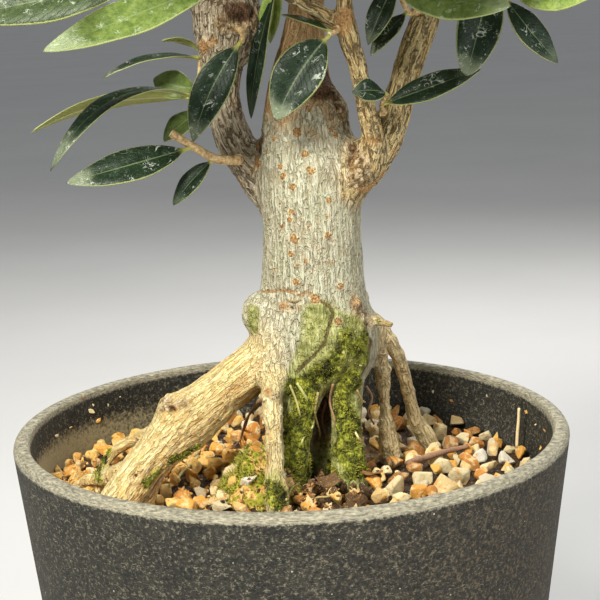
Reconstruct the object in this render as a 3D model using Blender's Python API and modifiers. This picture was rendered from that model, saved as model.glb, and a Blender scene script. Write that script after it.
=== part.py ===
"""An olive bonsai with exposed roots, growing in its round clay training pot.

Every size here is in millimetres, and MM turns it into Blender's metres. The origin is the centre of the
pot's underside, +Z is up and -Y is the front. The pot, the grit, the tree and each leafy shoot are objects of
their own. A row (x, y, z, radius) is one point of a stem's middle line and how thick the stem is there.
"""

import math
import random

import bmesh
import bpy
import numpy as np
from mathutils.geometry import delaunay_2d_cdt

MM = 0.001
SEAT_GAP = 0.3
FLAT_ANGLE = math.radians(0.6)

# The pot
POT_HEIGHT = 120.0
RIM_RADIUS = 80.0
SIDE_TAPER = 0.116
WALL = 5.0
FLOOR = 6.0
RIM_ROUND = 2.2
POT_SIDES = 40
DRAIN_HOLES = 5
DRAIN_RING = 36.0
DRAIN_RADIUS = 4.5
DRAIN_GROOVE = (5.0, 2.0)
MESH_DISC_RADIUS = 46.0
MESH_DISC_THICKNESS = 1.0
MESH_SLOT = (2.4, 6.4)

# The grit
GRIT_LEVEL = 105.6
MOUND_HEIGHT = 3.0
MOUND_CENTRE = (8.0, -4.0)
MOUND_SPREAD = 34.0
STONE_PITCH = 9.6
STONE_RISE = (0.9, 2.2)
CHINK_DEPTH = 1.2
GRIT_SEED = 11

# The trunk, from its rounded underside to the tip of the leader
TRUNK = [
    (9.5, 1.0, 129.0, 8.0),
    (9.5, 1.0, 133.0, 14.0),
    (9.0, 1.0, 139.0, 16.8),
    (8.3, 0.5, 146.0, 17.4),
    (7.9, 0.0, 153.0, 16.2),
    (7.7, 0.0, 161.0, 14.9),
    (7.7, 0.0, 177.0, 14.2),
    (7.4, 0.5, 188.0, 14.5),
    (7.0, 1.0, 197.0, 14.0),
    (6.4, 2.0, 206.0, 12.0),
    (5.6, 3.5, 215.0, 9.6),
    (6.2, 5.0, 223.0, 7.6),
    (7.2, 5.0, 231.0, 6.0),
    (8.2, 5.0, 240.0, 5.0),
    (9.0, 6.0, 252.0, 4.2),
    (8.0, 7.0, 268.0, 3.3),
    (6.0, 5.0, 286.0, 2.3),
    (8.0, 3.0, 300.0, 1.4),
]
TORN_TOP = [
    (11.0, 0.5, 198.0, 8.6),
    (12.2, 0.0, 206.0, 7.4),
    (12.0, 0.0, 212.0, 5.8),
    (11.0, 0.5, 217.0, 3.6),
]
EAR_BURL = [
    (-5.5, -4.0, 159.5, 1.8),
    (-8.9, -6.5, 155.8, 3.7),
    (-8.9, -7.0, 151.6, 3.7),
    (-6.5, -6.5, 146.5, 2.6),
]

ROOTS = {
    "big_left": [
        (4.0, -1.0, 148.5, 12.0),
        (-2.5, -3.0, 143.5, 9.4),
        (-8.6, -6.0, 139.6, 7.5),
        (-14.7, -10.0, 135.6, 7.2),
        (-21.5, -13.2, 130.9, 7.4),
        (-29.4, -17.0, 125.6, 8.3),
        (-35.8, -20.5, 120.1, 6.8),
        (-42.6, -23.8, 113.0, 5.9),
        (-47.8, -26.4, 107.0, 5.8),
        (-51.8, -28.5, 100.0, 4.6),
        (-54.0, -30.0, 93.0, 3.2),
    ],
    "front_prop": [
        (-1.0, -10.0, 141.0, 5.6),
        (-5.0, -17.5, 134.5, 3.4),
        (-4.7, -23.5, 125.0, 2.6),
        (-4.9, -28.5, 115.0, 2.6),
        (-4.4, -32.5, 107.0, 3.2),
        (-4.0, -35.0, 96.0, 2.4),
    ],
    "mossy_left": [
        (5.0, -5.0, 142.0, 9.5),
        (3.0, -9.0, 133.0, 7.2),
        (0.2, -12.0, 121.0, 5.8),
        (-1.8, -15.0, 109.0, 6.4),
        (-3.0, -17.0, 95.0, 4.4),
    ],
    "mossy_right": [
        (14.5, -3.0, 142.0, 8.5),
        (15.8, -7.0, 132.0, 5.6),
        (15.5, -10.0, 120.0, 4.4),
        (16.2, -13.5, 108.0, 5.2),
        (16.8, -16.0, 95.0, 3.6),
    ],
    "knotty_prop": [
        (21.0, 1.0, 149.0, 4.0),
        (25.6, 2.0, 141.5, 2.0),
        (27.0, 4.0, 134.0, 2.4),
        (27.6, 5.5, 124.0, 1.7),
        (28.4, 7.0, 114.0, 2.4),
        (29.2, 9.0, 106.0, 3.4),
        (29.6, 10.5, 96.0, 2.0),
    ],
    "slanting_prop": [
        (23.0, 3.0, 149.0, 3.8),
        (28.2, 5.0, 144.0, 2.3),
        (31.4, 7.5, 138.0, 2.2),
        (34.2, 12.5, 129.0, 2.1),
        (36.2, 17.5, 120.5, 2.1),
        (37.8, 20.5, 113.5, 2.4),
        (41.0, 22.0, 107.6, 2.8),
        (44.5, 23.0, 100.0, 2.0),
    ],
    "thin_arc": [
        (21.0, -3.0, 147.0, 2.6),
        (23.4, -6.5, 141.5, 1.3),
        (19.6, -11.8, 136.5, 1.1),
        (16.8, -12.2, 131.0, 1.1),
        (15.8, -9.6, 126.0, 1.1),
    ],
    "pale_stub": [(20.5, -4.0, 150.8, 2.2), (25.5, -6.0, 150.2, 1.2), (29.6, -8.0, 149.6, 0.9)],
    "side_rootlet": [
        (-34.0, -16.0, 122.5, 4.0),
        (-40.5, -12.5, 121.0, 2.4),
        (-45.5, -10.0, 118.8, 1.9),
        (-50.0, -9.0, 116.0, 1.7),
        (-53.4, -9.0, 112.2, 1.6),
        (-55.4, -10.0, 107.5, 1.5),
        (-56.5, -11.0, 100.0, 1.1),
    ],
    "back_left": [
        (6.0, 8.0, 142.0, 10.0),
        (4.5, 20.0, 128.0, 7.0),
        (1.5, 31.0, 114.0, 6.2),
        (0.0, 37.0, 105.0, 5.6),
        (-1.0, 40.0, 94.0, 3.8),
    ],
    "back_right": [
        (13.0, 8.0, 142.0, 7.6),
        (15.5, 21.0, 127.0, 5.2),
        (17.5, 33.0, 111.0, 4.6),
        (18.4, 38.0, 102.0, 4.0),
        (19.0, 40.0, 94.0, 2.8),
    ],
}

LIMBS = {
    "left_branch": [
        (0.0, 1.0, 185.0, 8.0),
        (-4.6, 2.5, 190.4, 6.7),
        (-9.2, 4.5, 195.0, 6.1),
        (-13.2, 6.0, 201.0, 5.7),
        (-16.0, 7.0, 210.0, 5.3),
        (-16.6, 7.3, 217.0, 5.4),
        (-16.2, 7.5, 223.0, 6.4),
        (-14.4, 7.5, 231.0, 9.4),
        (-14.2, 7.5, 238.0, 9.8),
        (-14.6, 7.5, 244.0, 6.6),
    ],
    "left_fork": [
        (-18.0, 8.0, 238.0, 6.0),
        (-24.0, 9.0, 246.0, 4.6),
        (-34.0, 6.0, 253.0, 3.6),
        (-45.0, -1.0, 262.0, 2.6),
        (-54.0, -6.0, 270.0, 1.6),
    ],
    "left_back": [
        (-10.0, 9.0, 238.0, 4.6),
        (-8.0, 15.0, 248.0, 3.9),
        (-14.0, 28.0, 260.0, 2.9),
        (-24.0, 40.0, 270.0, 1.6),
    ],
    "left_inner": [
        (-15.0, 7.0, 242.0, 5.0),
        (-18.0, 4.0, 256.0, 3.6),
        (-21.0, -3.0, 273.0, 2.6),
        (-17.0, -9.0, 290.0, 1.5),
    ],
    "right_shoulder": [
        (12.0, -2.0, 186.0, 9.2),
        (19.0, -4.5, 192.6, 7.1),
        (23.2, -5.8, 199.0, 5.2),
    ],
    "right_front": [
        (22.8, -5.8, 196.0, 4.8),
        (24.8, -8.8, 203.0, 3.2),
        (23.2, -11.0, 211.0, 2.8),
        (21.2, -12.0, 222.0, 2.5),
        (18.6, -12.0, 231.5, 3.0),
        (18.0, -12.5, 240.0, 2.3),
        (20.0, -19.0, 253.0, 2.2),
        (20.0, -30.0, 266.0, 1.9),
        (14.0, -38.0, 278.0, 1.4),
    ],
    "right_front_fork": [
        (18.4, -12.0, 232.5, 2.5),
        (9.4, -12.4, 238.0, 2.1),
        (1.0, -16.5, 243.0, 1.9),
        (-5.0, -26.0, 245.6, 1.4),
    ],
    "right_branch": [
        (19.3, -3.0, 191.4, 6.7),
        (24.4, -2.6, 195.8, 6.1),
        (28.6, -0.8, 200.8, 5.2),
        (31.4, 0.8, 207.0, 4.6),
        (33.6, 2.0, 213.8, 4.2),
        (36.6, 4.0, 223.0, 4.2),
        (41.0, 5.6, 233.6, 4.2),
        (44.6, 6.0, 242.0, 4.0),
        (52.0, 4.0, 253.0, 3.4),
        (60.0, -1.0, 264.0, 2.6),
        (66.0, -6.0, 274.0, 1.6),
    ],
    "right_back": [
        (44.6, 6.4, 241.0, 3.6),
        (47.0, 19.0, 253.0, 3.0),
        (44.0, 35.0, 267.0, 1.6),
    ],
    "right_inner": [
        (44.0, 6.0, 240.0, 3.7),
        (39.0, 8.0, 256.0, 3.1),
        (32.0, 5.0, 274.0, 2.4),
        (26.0, -1.0, 289.0, 1.5),
    ],
    "right_low": [
        (45.6, 5.6, 243.0, 3.0),
        (51.0, -3.0, 246.0, 1.9),
        (55.6, -12.0, 245.6, 1.4),
    ],
    "back_limb": [
        (9.0, 6.0, 249.0, 4.0),
        (12.0, 21.0, 258.0, 3.3),
        (15.0, 35.0, 268.0, 2.5),
        (12.0, 44.0, 280.0, 1.5),
    ],
}

# The crown: its stems' ends lie on a dome, and the shoots grow out from there
DOME_CENTRE = np.array((5.0, 0.0, 252.0))
DOME_RADII = np.array((50.0, 46.0, 45.0))
DOME_LOWEST = 0.12
FREE_SHOOTS = 31
STEM_BASE_RADIUS = 1.9
STEM_TIP_RADIUS = 1.15
TWIG_RADII = (1.0, 0.6)
STUB = 1.5
TIP_SHIFT = 3.0
TIP_ROOM = 4.0
SHORTEST_STEM = 6.0
TWIG_LENGTH = (31.0, 39.0)
LEAF_PLACES = (0.30, 0.64, 0.96)
END_LEAF_SCALE = 0.82
LEAF_LENGTH = (30.0, 41.0)
LEAF_SLENDER = (0.27, 0.33)
BLADE_THICKNESS = 0.7
LEAF_CLEARANCE = 3.1
STEM_CLEARANCE = 1.2
TRIES = 30
UNDERSIDE_LEVEL = 242.6
UNDERSIDE_TILT = -0.03
CROWN_SEED = 7

# The lowest shoots, one by one. Each leaf is (base, tip, width, the way its upper face looks, arch), where
# the arch is how far the middle of the blade stands off the straight line from base to tip.
LOW_SHOOTS = {
    "front_left": {
        "twig": [
            (-5.3, -26.5, 245.7),
            (-12.0, -37.5, 246.4),
            (-31.0, -43.6, 247.2),
            (-47.0, -50.0, 251.0),
        ],
        "radii": (1.0, 0.6),
        "leaves": [
            ((-12.0, -38.0, 246.0), (-56.7, -56.0, 230.5), 13.0, (-0.2, -0.75, 0.65), 0.3),
            ((-31.0, -44.0, 246.9), (-80.6, -39.0, 238.6), 13.5, (0.0, -0.85, 0.5), 0.5),
        ],
        "free": [(0.42, 60), (0.62, 75), (0.97, 20), (0.97, 200)],
    },
    "behind_left": {
        "twig": [
            (-20.9, 13.5, 227.6),
            (-22.3, 14.6, 225.5),
            (-23.0, 14.4, 219.0),
            (-23.6, 13.6, 213.6),
            (-22.4, 11.6, 209.8),
        ],
        "radii": (0.9, 0.7),
        "leaves": [
            ((-22.2, 14.4, 226.6), (-33.2, 10.0, 230.0), 4.0, (0.2, 0.5, 0.85), 1.5),
            ((-22.4, 14.4, 224.6), (-50.0, 6.0, 220.1), 7.5, (0.0, -0.15, 0.98), 3.0),
            ((-23.6, 14.6, 215.9), (-36.6, 18.5, 219.0), 8.5, (-0.3, -0.9, 0.3), 1.5),
            ((-23.6, 13.2, 213.2), (-62.9, -16.0, 197.0), 8.0, (-0.1, -0.25, 0.96), 11.0),
            ((-24.0, 14.6, 212.6), (-71.2, 6.0, 205.6), 8.5, (0.25, 0.6, 0.75), 5.0),
            ((-22.6, 11.4, 210.0), (-33.5, 6.0, 201.9), 9.0, (-0.4, -0.7, 0.6), 1.0),
        ],
        "free": [],
    },
    "cut_twig": {
        "twig": [
            (-13.2, -3.0, 197.0),
            (-18.6, -5.8, 198.0),
            (-24.7, -6.6, 201.7),
            (-30.4, -7.8, 205.6),
        ],
        "radii": (1.4, 1.1),
        "leaves": [
            ((-24.8, -7.0, 201.2), (-59.0, -15.0, 193.6), 11.5, (-0.15, -0.75, 0.65), 1.5),
            ((-19.4, -6.0, 197.2), (-30.8, -7.0, 185.5), 6.8, (-0.5, -0.75, 0.45), 1.0),
        ],
        "free": [],
    },
    "under_knot": {
        "twig": [(-10.4, -3.2, 232.8), (-9.8, -5.4, 231.6), (-10.0, -6.4, 229.4)],
        "radii": (0.9, 0.7),
        "leaves": [((-10.0, -6.2, 230.0), (-24.2, -12.0, 203.4), 10.5, (-0.1, -0.95, 0.3), 2.0)],
        "free": [],
    },
    "leader_side": {
        "twig": [(3.2, 3.6, 246.2), (0.6, 1.8, 245.8), (-3.6, -1.4, 249.0), (-9.0, -6.0, 257.0)],
        "radii": (0.9, 0.6),
        "leaves": [
            ((0.8, 1.2, 245.6), (-8.4, -0.6, 208.1), 6.5, (-0.8, -0.55, -0.2), 2.0),
            ((-1.0, 1.2, 246.6), (-5.3, 3.4, 225.8), 4.0, (-0.3, -0.95, 0.0), 0.8),
            ((1.0, 2.2, 245.9), (-2.4, 6.0, 228.4), 4.6, (-0.5, -0.85, 0.0), 0.5),
        ],
        "free": [(0.75, 80), (0.95, 30), (0.95, 210)],
    },
    "front_node": {
        "twig": [(15.6, -14.6, 232.6), (14.4, -16.2, 231.6), (13.4, -17.6, 231.4)],
        "radii": (0.9, 0.7),
        "leaves": [
            ((13.7, -17.2, 231.2), (-1.4, -22.0, 209.2), 13.6, (-0.1, -0.9, 0.4), 1.5),
            ((14.0, -16.4, 232.0), (0.9, -10.0, 236.6), 5.0, (0.3, -0.3, 0.9), 0.6),
        ],
        "free": [],
    },
    "between_forks": {
        "twig": [(38.4, 2.0, 236.2), (35.9, -1.4, 236.0), (32.4, -6.6, 243.5), (30.6, -12.0, 253.0)],
        "radii": (0.9, 0.6),
        "leaves": [
            ((35.7, -1.8, 236.2), (25.0, -7.0, 224.8), 6.5, (-0.6, -0.75, 0.3), 1.0),
            ((32.2, -7.0, 244.0), (24.0, -12.0, 227.9), 7.2, (-0.4, -0.9, 0.1), 1.5),
        ],
        "free": [(0.85, 60), (0.95, 150)],
    },
    "in_the_fork": {
        "twig": [(26.7, -10.6, 209.4), (27.4, -10.8, 211.6), (28.8, -12.8, 214.8)],
        "radii": (0.8, 0.6),
        "leaves": [
            ((27.4, -11.0, 211.8), (53.8, -16.0, 220.8), 9.2, (-0.1, -0.7, 0.7), 1.0),
            ((28.6, -12.8, 214.8), (19.1, -18.0, 215.9), 7.0, (0.1, -0.75, 0.65), 1.2),
        ],
        "free": [],
    },
    "right_low": {
        "twig": [
            (55.8, -12.4, 245.5),
            (57.5, -18.5, 241.8),
            (59.6, -23.0, 239.4),
            (66.0, -30.0, 244.0),
            (73.0, -36.0, 252.0),
        ],
        "radii": (1.0, 0.6),
        "leaves": [
            ((56.6, -15.0, 243.8), (49.3, -20.0, 219.3), 12.0, (0.1, -0.9, 0.35), 1.0),
            ((59.2, -22.0, 239.6), (73.0, -24.0, 222.2), 8.5, (0.25, -0.85, 0.4), 1.2),
            ((60.0, -23.6, 239.6), (86.2, -42.0, 245.0), 14.5, (0.1, -0.9, 0.4), 0.5),
        ],
        "free": [(0.82, 80), (0.97, 20), (0.97, 200)],
    },
    "front_right": {
        "twig": [
            (21.0, -19.5, 246.0),
            (25.0, -21.5, 243.6),
            (29.0, -25.0, 243.0),
            (33.0, -35.0, 248.0),
            (35.0, -46.0, 255.5),
        ],
        "radii": (0.9, 0.6),
        "leaves": [((28.8, -25.0, 242.6), (59.2, -34.0, 237.4), 14.0, (0.1, -0.85, 0.5), 0.3)],
        "free": [(0.75, 170), (0.75, 350), (0.97, 80), (0.97, 260)],
    },
}

MATERIALS = {
    "speckled_clay": ((0.045, 0.043, 0.042), 0.88),
    "black_plastic": ((0.02, 0.02, 0.02), 0.5),
    "orange_grit": ((0.48, 0.27, 0.13), 0.9),
    "olive_bark": ((0.55, 0.48, 0.36), 0.85),
    "olive_leaf": ((0.05, 0.10, 0.045), 0.42),
}


def clear_scene():
    for obj in list(bpy.data.objects):
        bpy.data.objects.remove(obj, do_unlink=True)


def material(name):
    made = bpy.data.materials.get(name)
    if made:
        return made
    colour, roughness = MATERIALS[name]
    made = bpy.data.materials.new(name)
    made.use_nodes = True
    shader = made.node_tree.nodes["Principled BSDF"]
    shader.inputs["Base Color"].default_value = (*colour, 1.0)
    shader.inputs["Roughness"].default_value = roughness
    made.diffuse_color = (*colour, 1.0)
    return made


def collection(name):
    made = bpy.data.collections.new(name)
    bpy.context.scene.collection.children.link(made)
    return made


def unit(vector):
    return np.asarray(vector, float) / np.linalg.norm(vector)


def mesh_object(name, mesh, home, finish=None):
    obj = bpy.data.objects.new(name, mesh)
    home.objects.link(obj)
    if finish:
        mesh.materials.clear()
        mesh.materials.append(material(finish))
    return obj


def applied(obj, weld=0.00001):
    """The object's mesh with its modifiers worked in, its caps welded and its faces turned outwards."""
    bpy.context.view_layer.update()
    graph = bpy.context.evaluated_depsgraph_get()
    mesh = bpy.data.meshes.new_from_object(obj.evaluated_get(graph))
    mesh.transform(obj.matrix_world)
    shape = bmesh.new()
    shape.from_mesh(mesh)
    bmesh.ops.remove_doubles(shape, verts=shape.verts, dist=weld)
    bmesh.ops.recalc_face_normals(shape, faces=shape.faces)
    shape.to_mesh(mesh)
    shape.free()
    return mesh


def body_from(start, left):
    """The vertices that hang together with `start`, taken out of the set `left`."""
    left.discard(start)
    found = [start]
    for vert in found:
        for edge in vert.link_edges:
            other = edge.other_vert(vert)
            if other in left:
                left.discard(other)
                found.append(other)
    return found


def tidy_mesh(mesh):
    """Keeps the largest body, without the scraps and sealed hollows of a Boolean, and merges flat faces."""
    shape = bmesh.new()
    shape.from_mesh(mesh)
    left = set(shape.verts)
    bodies = []
    for vert in shape.verts:
        if vert in left:
            bodies.append(body_from(vert, left))
    bodies.sort(key=len)
    for body in bodies[:-1]:
        bmesh.ops.delete(shape, geom=body, context="VERTS")
    bmesh.ops.dissolve_limit(shape, angle_limit=FLAT_ANGLE, verts=shape.verts, edges=shape.edges)
    bmesh.ops.triangulate(shape, faces=shape.faces)
    shape.to_mesh(mesh)
    shape.free()


def boolean(obj, other, operation, solver="EXACT"):
    """One Boolean with an object or with a whole collection, applied. The other side is then removed."""
    cut = obj.modifiers.new(operation.title(), "BOOLEAN")
    cut.operation = operation
    cut.solver = solver
    if isinstance(other, bpy.types.Collection):
        cut.operand_type = "COLLECTION"
        cut.collection = other
        gone = list(other.objects)
    else:
        cut.object = other
        gone = [other]
    mesh = applied(obj, weld=0.0000001)
    tidy_mesh(mesh)
    obj.modifiers.clear()
    obj.data = mesh
    for item in gone:
        bpy.data.objects.remove(item, do_unlink=True)


def smooth(rows, steps):
    """Points on a smooth curve through the rows, with `steps` of them from each row to the next."""
    rows = np.array(rows, float)
    ends = np.vstack([2 * rows[0] - rows[1], rows, 2 * rows[-1] - rows[-2]])
    found = []
    for a, b, c, d in zip(ends[:-3], ends[1:-2], ends[2:-1], ends[3:]):
        for t in (k / steps for k in range(steps)):
            curve = (2 * a - 5 * b + 4 * c - d) * t**2 + (3 * b - a - 3 * c + d) * t**3
            found.append(b + 0.5 * ((c - a) * t + curve))
    return np.array(found + [rows[-1]])


def tube(name, rows, home, roundness=1, more=0.0):
    """A round stem along rows of (x, y, z, radius), as a closed mesh. `more` fattens and lengthens it."""
    curve = bpy.data.curves.new(name, "CURVE")
    curve.dimensions = "3D"
    curve.bevel_depth = MM
    curve.bevel_resolution = roundness
    curve.use_fill_caps = True
    line = curve.splines.new("POLY")
    line.points.add(len(rows) - 1)
    last = unit(rows[-1][:3] - rows[-2][:3]) * more
    for point, row in zip(line.points, rows):
        point.co = (*(row[:3] * MM), 1.0)
        point.radius = row[3] + more
    line.points[-1].co = (*((rows[-1][:3] + last) * MM), 1.0)
    guide = bpy.data.objects.new(name, curve)
    home.objects.link(guide)
    mesh = applied(guide)
    bpy.data.objects.remove(guide, do_unlink=True)
    return mesh_object(name, mesh, home)


def turned(name, profile, home, finish, sides=POT_SIDES):
    """A profile of (radius, height) points, turned once round the Z axis."""
    mesh = bpy.data.meshes.new(name)
    corners = [(r * MM, 0.0, z * MM) for r, z in profile]
    mesh.from_pydata(corners, [(i, i + 1) for i in range(len(corners) - 1)], [])
    obj = mesh_object(name, mesh, home)
    screw = obj.modifiers.new("Turn", "SCREW")
    screw.steps = sides
    screw.render_steps = sides
    screw.use_merge_vertices = True
    screw.merge_threshold = 0.0001
    obj.data = applied(obj)
    obj.modifiers.clear()
    obj.data.materials.append(material(finish))
    obj.data.shade_smooth()
    obj.data.set_sharp_from_angle(angle=math.radians(35))
    return obj


def side_radius(height):
    return RIM_RADIUS - SIDE_TAPER * (POT_HEIGHT - RIM_ROUND - height)


def inner_radius(height):
    return side_radius(height) - WALL


def box(name, size, place, turn, home):
    bpy.ops.mesh.primitive_cube_add(size=1.0)
    obj = bpy.context.object
    obj.name = name
    obj.scale = [side * MM for side in size]
    obj.location = [value * MM for value in place]
    obj.rotation_euler = (0.0, 0.0, turn)
    bpy.context.view_layer.update()
    mesh = applied(obj)
    bpy.data.objects.remove(obj, do_unlink=True)
    return mesh_object(name, mesh, home)


def drain_angles():
    return [2 * math.pi * (i + 0.25) / DRAIN_HOLES for i in range(DRAIN_HOLES)]


def build_pot(home, cutters):
    """The clay wall and floor in one turned shape, with a drain hole and an open groove under each hole."""
    centre = (RIM_RADIUS - RIM_ROUND, POT_HEIGHT - RIM_ROUND)
    lip = [
        (centre[0] + RIM_ROUND * math.cos(a), centre[1] + RIM_ROUND * math.sin(a))
        for a in (math.radians(90 - 30 * i) for i in range(4))
    ]
    inner_top = inner_radius(POT_HEIGHT - 1.0)
    profile = [
        (0.0, FLOOR),
        (inner_radius(FLOOR) - 3.0, FLOOR),
        (inner_radius(FLOOR + 3.0), FLOOR + 3.0),
        (inner_top, POT_HEIGHT - 1.0),
        (inner_top + 1.0, POT_HEIGHT),
        *lip,
        (side_radius(2.0), 2.0),
        (side_radius(0.0) - 1.8, 0.0),
        (0.0, 0.0),
    ]
    pot = turned("pot", profile, home, "speckled_clay")
    width, depth = DRAIN_GROOVE
    reach = RIM_RADIUS - DRAIN_RING
    for i, angle in enumerate(drain_angles()):
        out = np.array((math.cos(angle), math.sin(angle)))
        bpy.ops.mesh.primitive_cylinder_add(vertices=12, radius=DRAIN_RADIUS * MM, depth=4 * FLOOR * MM)
        hole = bpy.context.object
        hole.location = (*(out * DRAIN_RING * MM), 0.0)
        bpy.context.view_layer.update()
        mesh = applied(hole)
        bpy.data.objects.remove(hole, do_unlink=True)
        mesh_object(f"drain_hole_{i}", mesh, cutters)
        middle = out * (DRAIN_RING + reach / 2)
        box(f"drain_groove_{i}", (reach, width, 2 * depth), (*middle, 0.0), angle, cutters)
    boolean(pot, cutters, "DIFFERENCE")
    pot.data.shade_smooth()
    pot.data.set_sharp_from_angle(angle=math.radians(35))
    return pot


def build_drainage_mesh(home, cutters):
    """The plastic mesh on the pot's floor, open over each drain hole and held down by the grit."""
    low = FLOOR + SEAT_GAP
    high = low + MESH_DISC_THICKNESS
    profile = [(0.0, high), (MESH_DISC_RADIUS, high), (MESH_DISC_RADIUS, low), (0.0, low)]
    disc = turned("drainage_mesh", profile, home, "black_plastic", sides=24)
    for i, angle in enumerate(drain_angles()):
        out = np.array((math.cos(angle), math.sin(angle)))
        for side in (-1, 1):
            place = out * (DRAIN_RING + side * 0.75 * MESH_SLOT[0])
            box(f"mesh_slot_{i}_{side}", (*MESH_SLOT, 6 * MESH_DISC_THICKNESS), (*place, low), angle, cutters)
    boolean(disc, cutters, "DIFFERENCE")
    return disc


def grit_height(x, y):
    away = math.hypot(x - MOUND_CENTRE[0], y - MOUND_CENTRE[1])
    return GRIT_LEVEL + MOUND_HEIGHT * math.exp(-((away / MOUND_SPREAD) ** 2))


def stone_centres(radius, rng):
    """Stone centres on a jittered honeycomb, row by row, out to the given radius."""
    centres = []
    row_step = STONE_PITCH * math.sqrt(3) / 2
    rows = int(radius / row_step) + 1
    for row in range(-rows, rows + 1):
        for column in range(-rows, rows + 1):
            x = (column + 0.5 * (row % 2)) * STONE_PITCH + rng.uniform(-1.4, 1.4)
            y = row * row_step + rng.uniform(-1.4, 1.4)
            if math.hypot(x, y) < radius:
                centres.append((x, y))
    return centres


def build_soil(home):
    """The filling of the pot. Its top is a relief of angular stones: a peak each, and low chinks between."""
    rng = random.Random(GRIT_SEED)
    turns = [2 * math.pi * i / POT_SIDES for i in range(POT_SIDES)]
    edge_radius = inner_radius(GRIT_LEVEL) - SEAT_GAP
    ring = [(edge_radius * math.cos(a), edge_radius * math.sin(a)) for a in turns]
    stones = stone_centres(edge_radius - 0.4 * STONE_PITCH, rng)
    first = delaunay_2d_cdt(ring + stones, [], [], 0, 0.001)
    corners, triangles = first[0], first[2]
    chinks = [tuple(sum((corners[i] for i in face), start=corners[0] * 0) / 3) for face in triangles]
    points, _, faces, _, _, _ = delaunay_2d_cdt(ring + stones + chinks, [], [], 0, 0.001)
    tops = []
    for i, (x, y) in enumerate(points):
        height = grit_height(x, y)
        if i < len(ring):
            height = GRIT_LEVEL
        elif i < len(ring) + len(stones):
            height += rng.uniform(*STONE_RISE)
        else:
            height -= CHINK_DEPTH
        tops.append((x * MM, y * MM, height * MM))
    mesh_top = FLOOR + 2 * SEAT_GAP + MESH_DISC_THICKNESS
    low = FLOOR + SEAT_GAP
    disc = MESH_DISC_RADIUS + SEAT_GAP
    rings = [
        (inner_radius(low + 3.0) - SEAT_GAP, low + 3.0),
        (inner_radius(FLOOR) - 3.4, low),
        (disc, low),
        (disc, mesh_top),
    ]
    shape = bmesh.new()
    verts = [shape.verts.new(top) for top in tops]
    for face in faces:
        shape.faces.new([verts[i] for i in face])
    upper = verts[:POT_SIDES]
    for radius, height in rings:
        corners = [np.array((radius * math.cos(a), radius * math.sin(a), height)) for a in turns]
        lower = [shape.verts.new(corner * MM) for corner in corners]
        for i in range(POT_SIDES):
            j = (i + 1) % POT_SIDES
            shape.faces.new((upper[j], upper[i], lower[i], lower[j]))
        upper = lower
    shape.faces.new(upper)
    bmesh.ops.triangulate(shape, faces=[face for face in shape.faces if len(face.verts) > 4])
    bmesh.ops.recalc_face_normals(shape, faces=shape.faces)
    mesh = bpy.data.meshes.new("soil")
    shape.to_mesh(mesh)
    shape.free()
    return mesh_object("soil", mesh, home, "orange_grit")


def hermite(start, start_way, end, end_way, steps):
    """Points on a curve that leaves `start` along one way and comes to `end` along another."""
    rows = []
    for k in range(steps + 1):
        t = k / steps
        rows.append(
            (2 * t**3 - 3 * t**2 + 1) * start
            + (t**3 - 2 * t**2 + t) * start_way
            + (3 * t**2 - 2 * t**3) * end
            + (t**3 - t**2) * end_way
        )
    return np.array(rows)


def dome_tips():
    """Ends of the crown's stems, spread evenly over the dome in a sunflower's spiral."""
    golden = math.pi * (3 - math.sqrt(5))
    tips = []
    for i in range(FREE_SHOOTS):
        up = DOME_LOWEST + (0.985 - DOME_LOWEST) * (i + 0.5) / FREE_SHOOTS
        flat = math.sqrt(1 - up * up)
        way = np.array((flat * math.cos(golden * i), flat * math.sin(golden * i), up))
        tips.append((DOME_CENTRE + DOME_RADII * way, way))
    return tips


def nearest_wood(point):
    """The nearest part of the trunk or a limb: (gap, middle, radius, way out, whether it is an end)."""
    best = None
    for rows in [TRUNK, *LIMBS.values()]:
        rows = np.array(rows)
        for i, (a, b) in enumerate(zip(rows[:-1], rows[1:])):
            span = b[:3] - a[:3]
            t = min(1.0, max(0.0, float((point - a[:3]) @ span / (span @ span))))
            middle = a[:3] + span * t
            radius = a[3] + (b[3] - a[3]) * t
            off = np.linalg.norm(point - middle) - radius
            if best is None or off < best[0]:
                at_end = i == len(rows) - 2 and t == 1.0
                best = (off, middle, radius, unit(span if at_end else point - middle), at_end)
    return best


def on_wood(point):
    """The nearest place on the bark of a limb, just clear of it, and the way straight out from there."""
    _, middle, radius, way, at_end = nearest_wood(point)
    return middle + way * (SEAT_GAP if at_end else radius + SEAT_GAP), way


def joints_of(limbs):
    """Where a crown stem may leave a limb: (point, the limb's way there, its radius)."""
    found = []
    for rows in limbs:
        line = smooth(rows, 5)
        for before, here, after in zip(line[:-2], line[1:-1], line[2:]):
            if here[2] > UNDERSIDE_LEVEL + 3.0:
                found.append((here[:3], unit(after[:3] - before[:3]), here[3]))
    return found


def free_tip(tip, rng):
    """The tip shifted at random, and then a little further each time, until it is clear of the limbs."""
    for attempt in range(TRIES):
        shift = TIP_SHIFT * (1.0 + 0.1 * attempt)
        moved = tip + np.array([rng.uniform(-shift, shift) for _ in range(3)])
        if nearest_wood(moved)[0] > TIP_ROOM:
            break
    return moved


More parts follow.
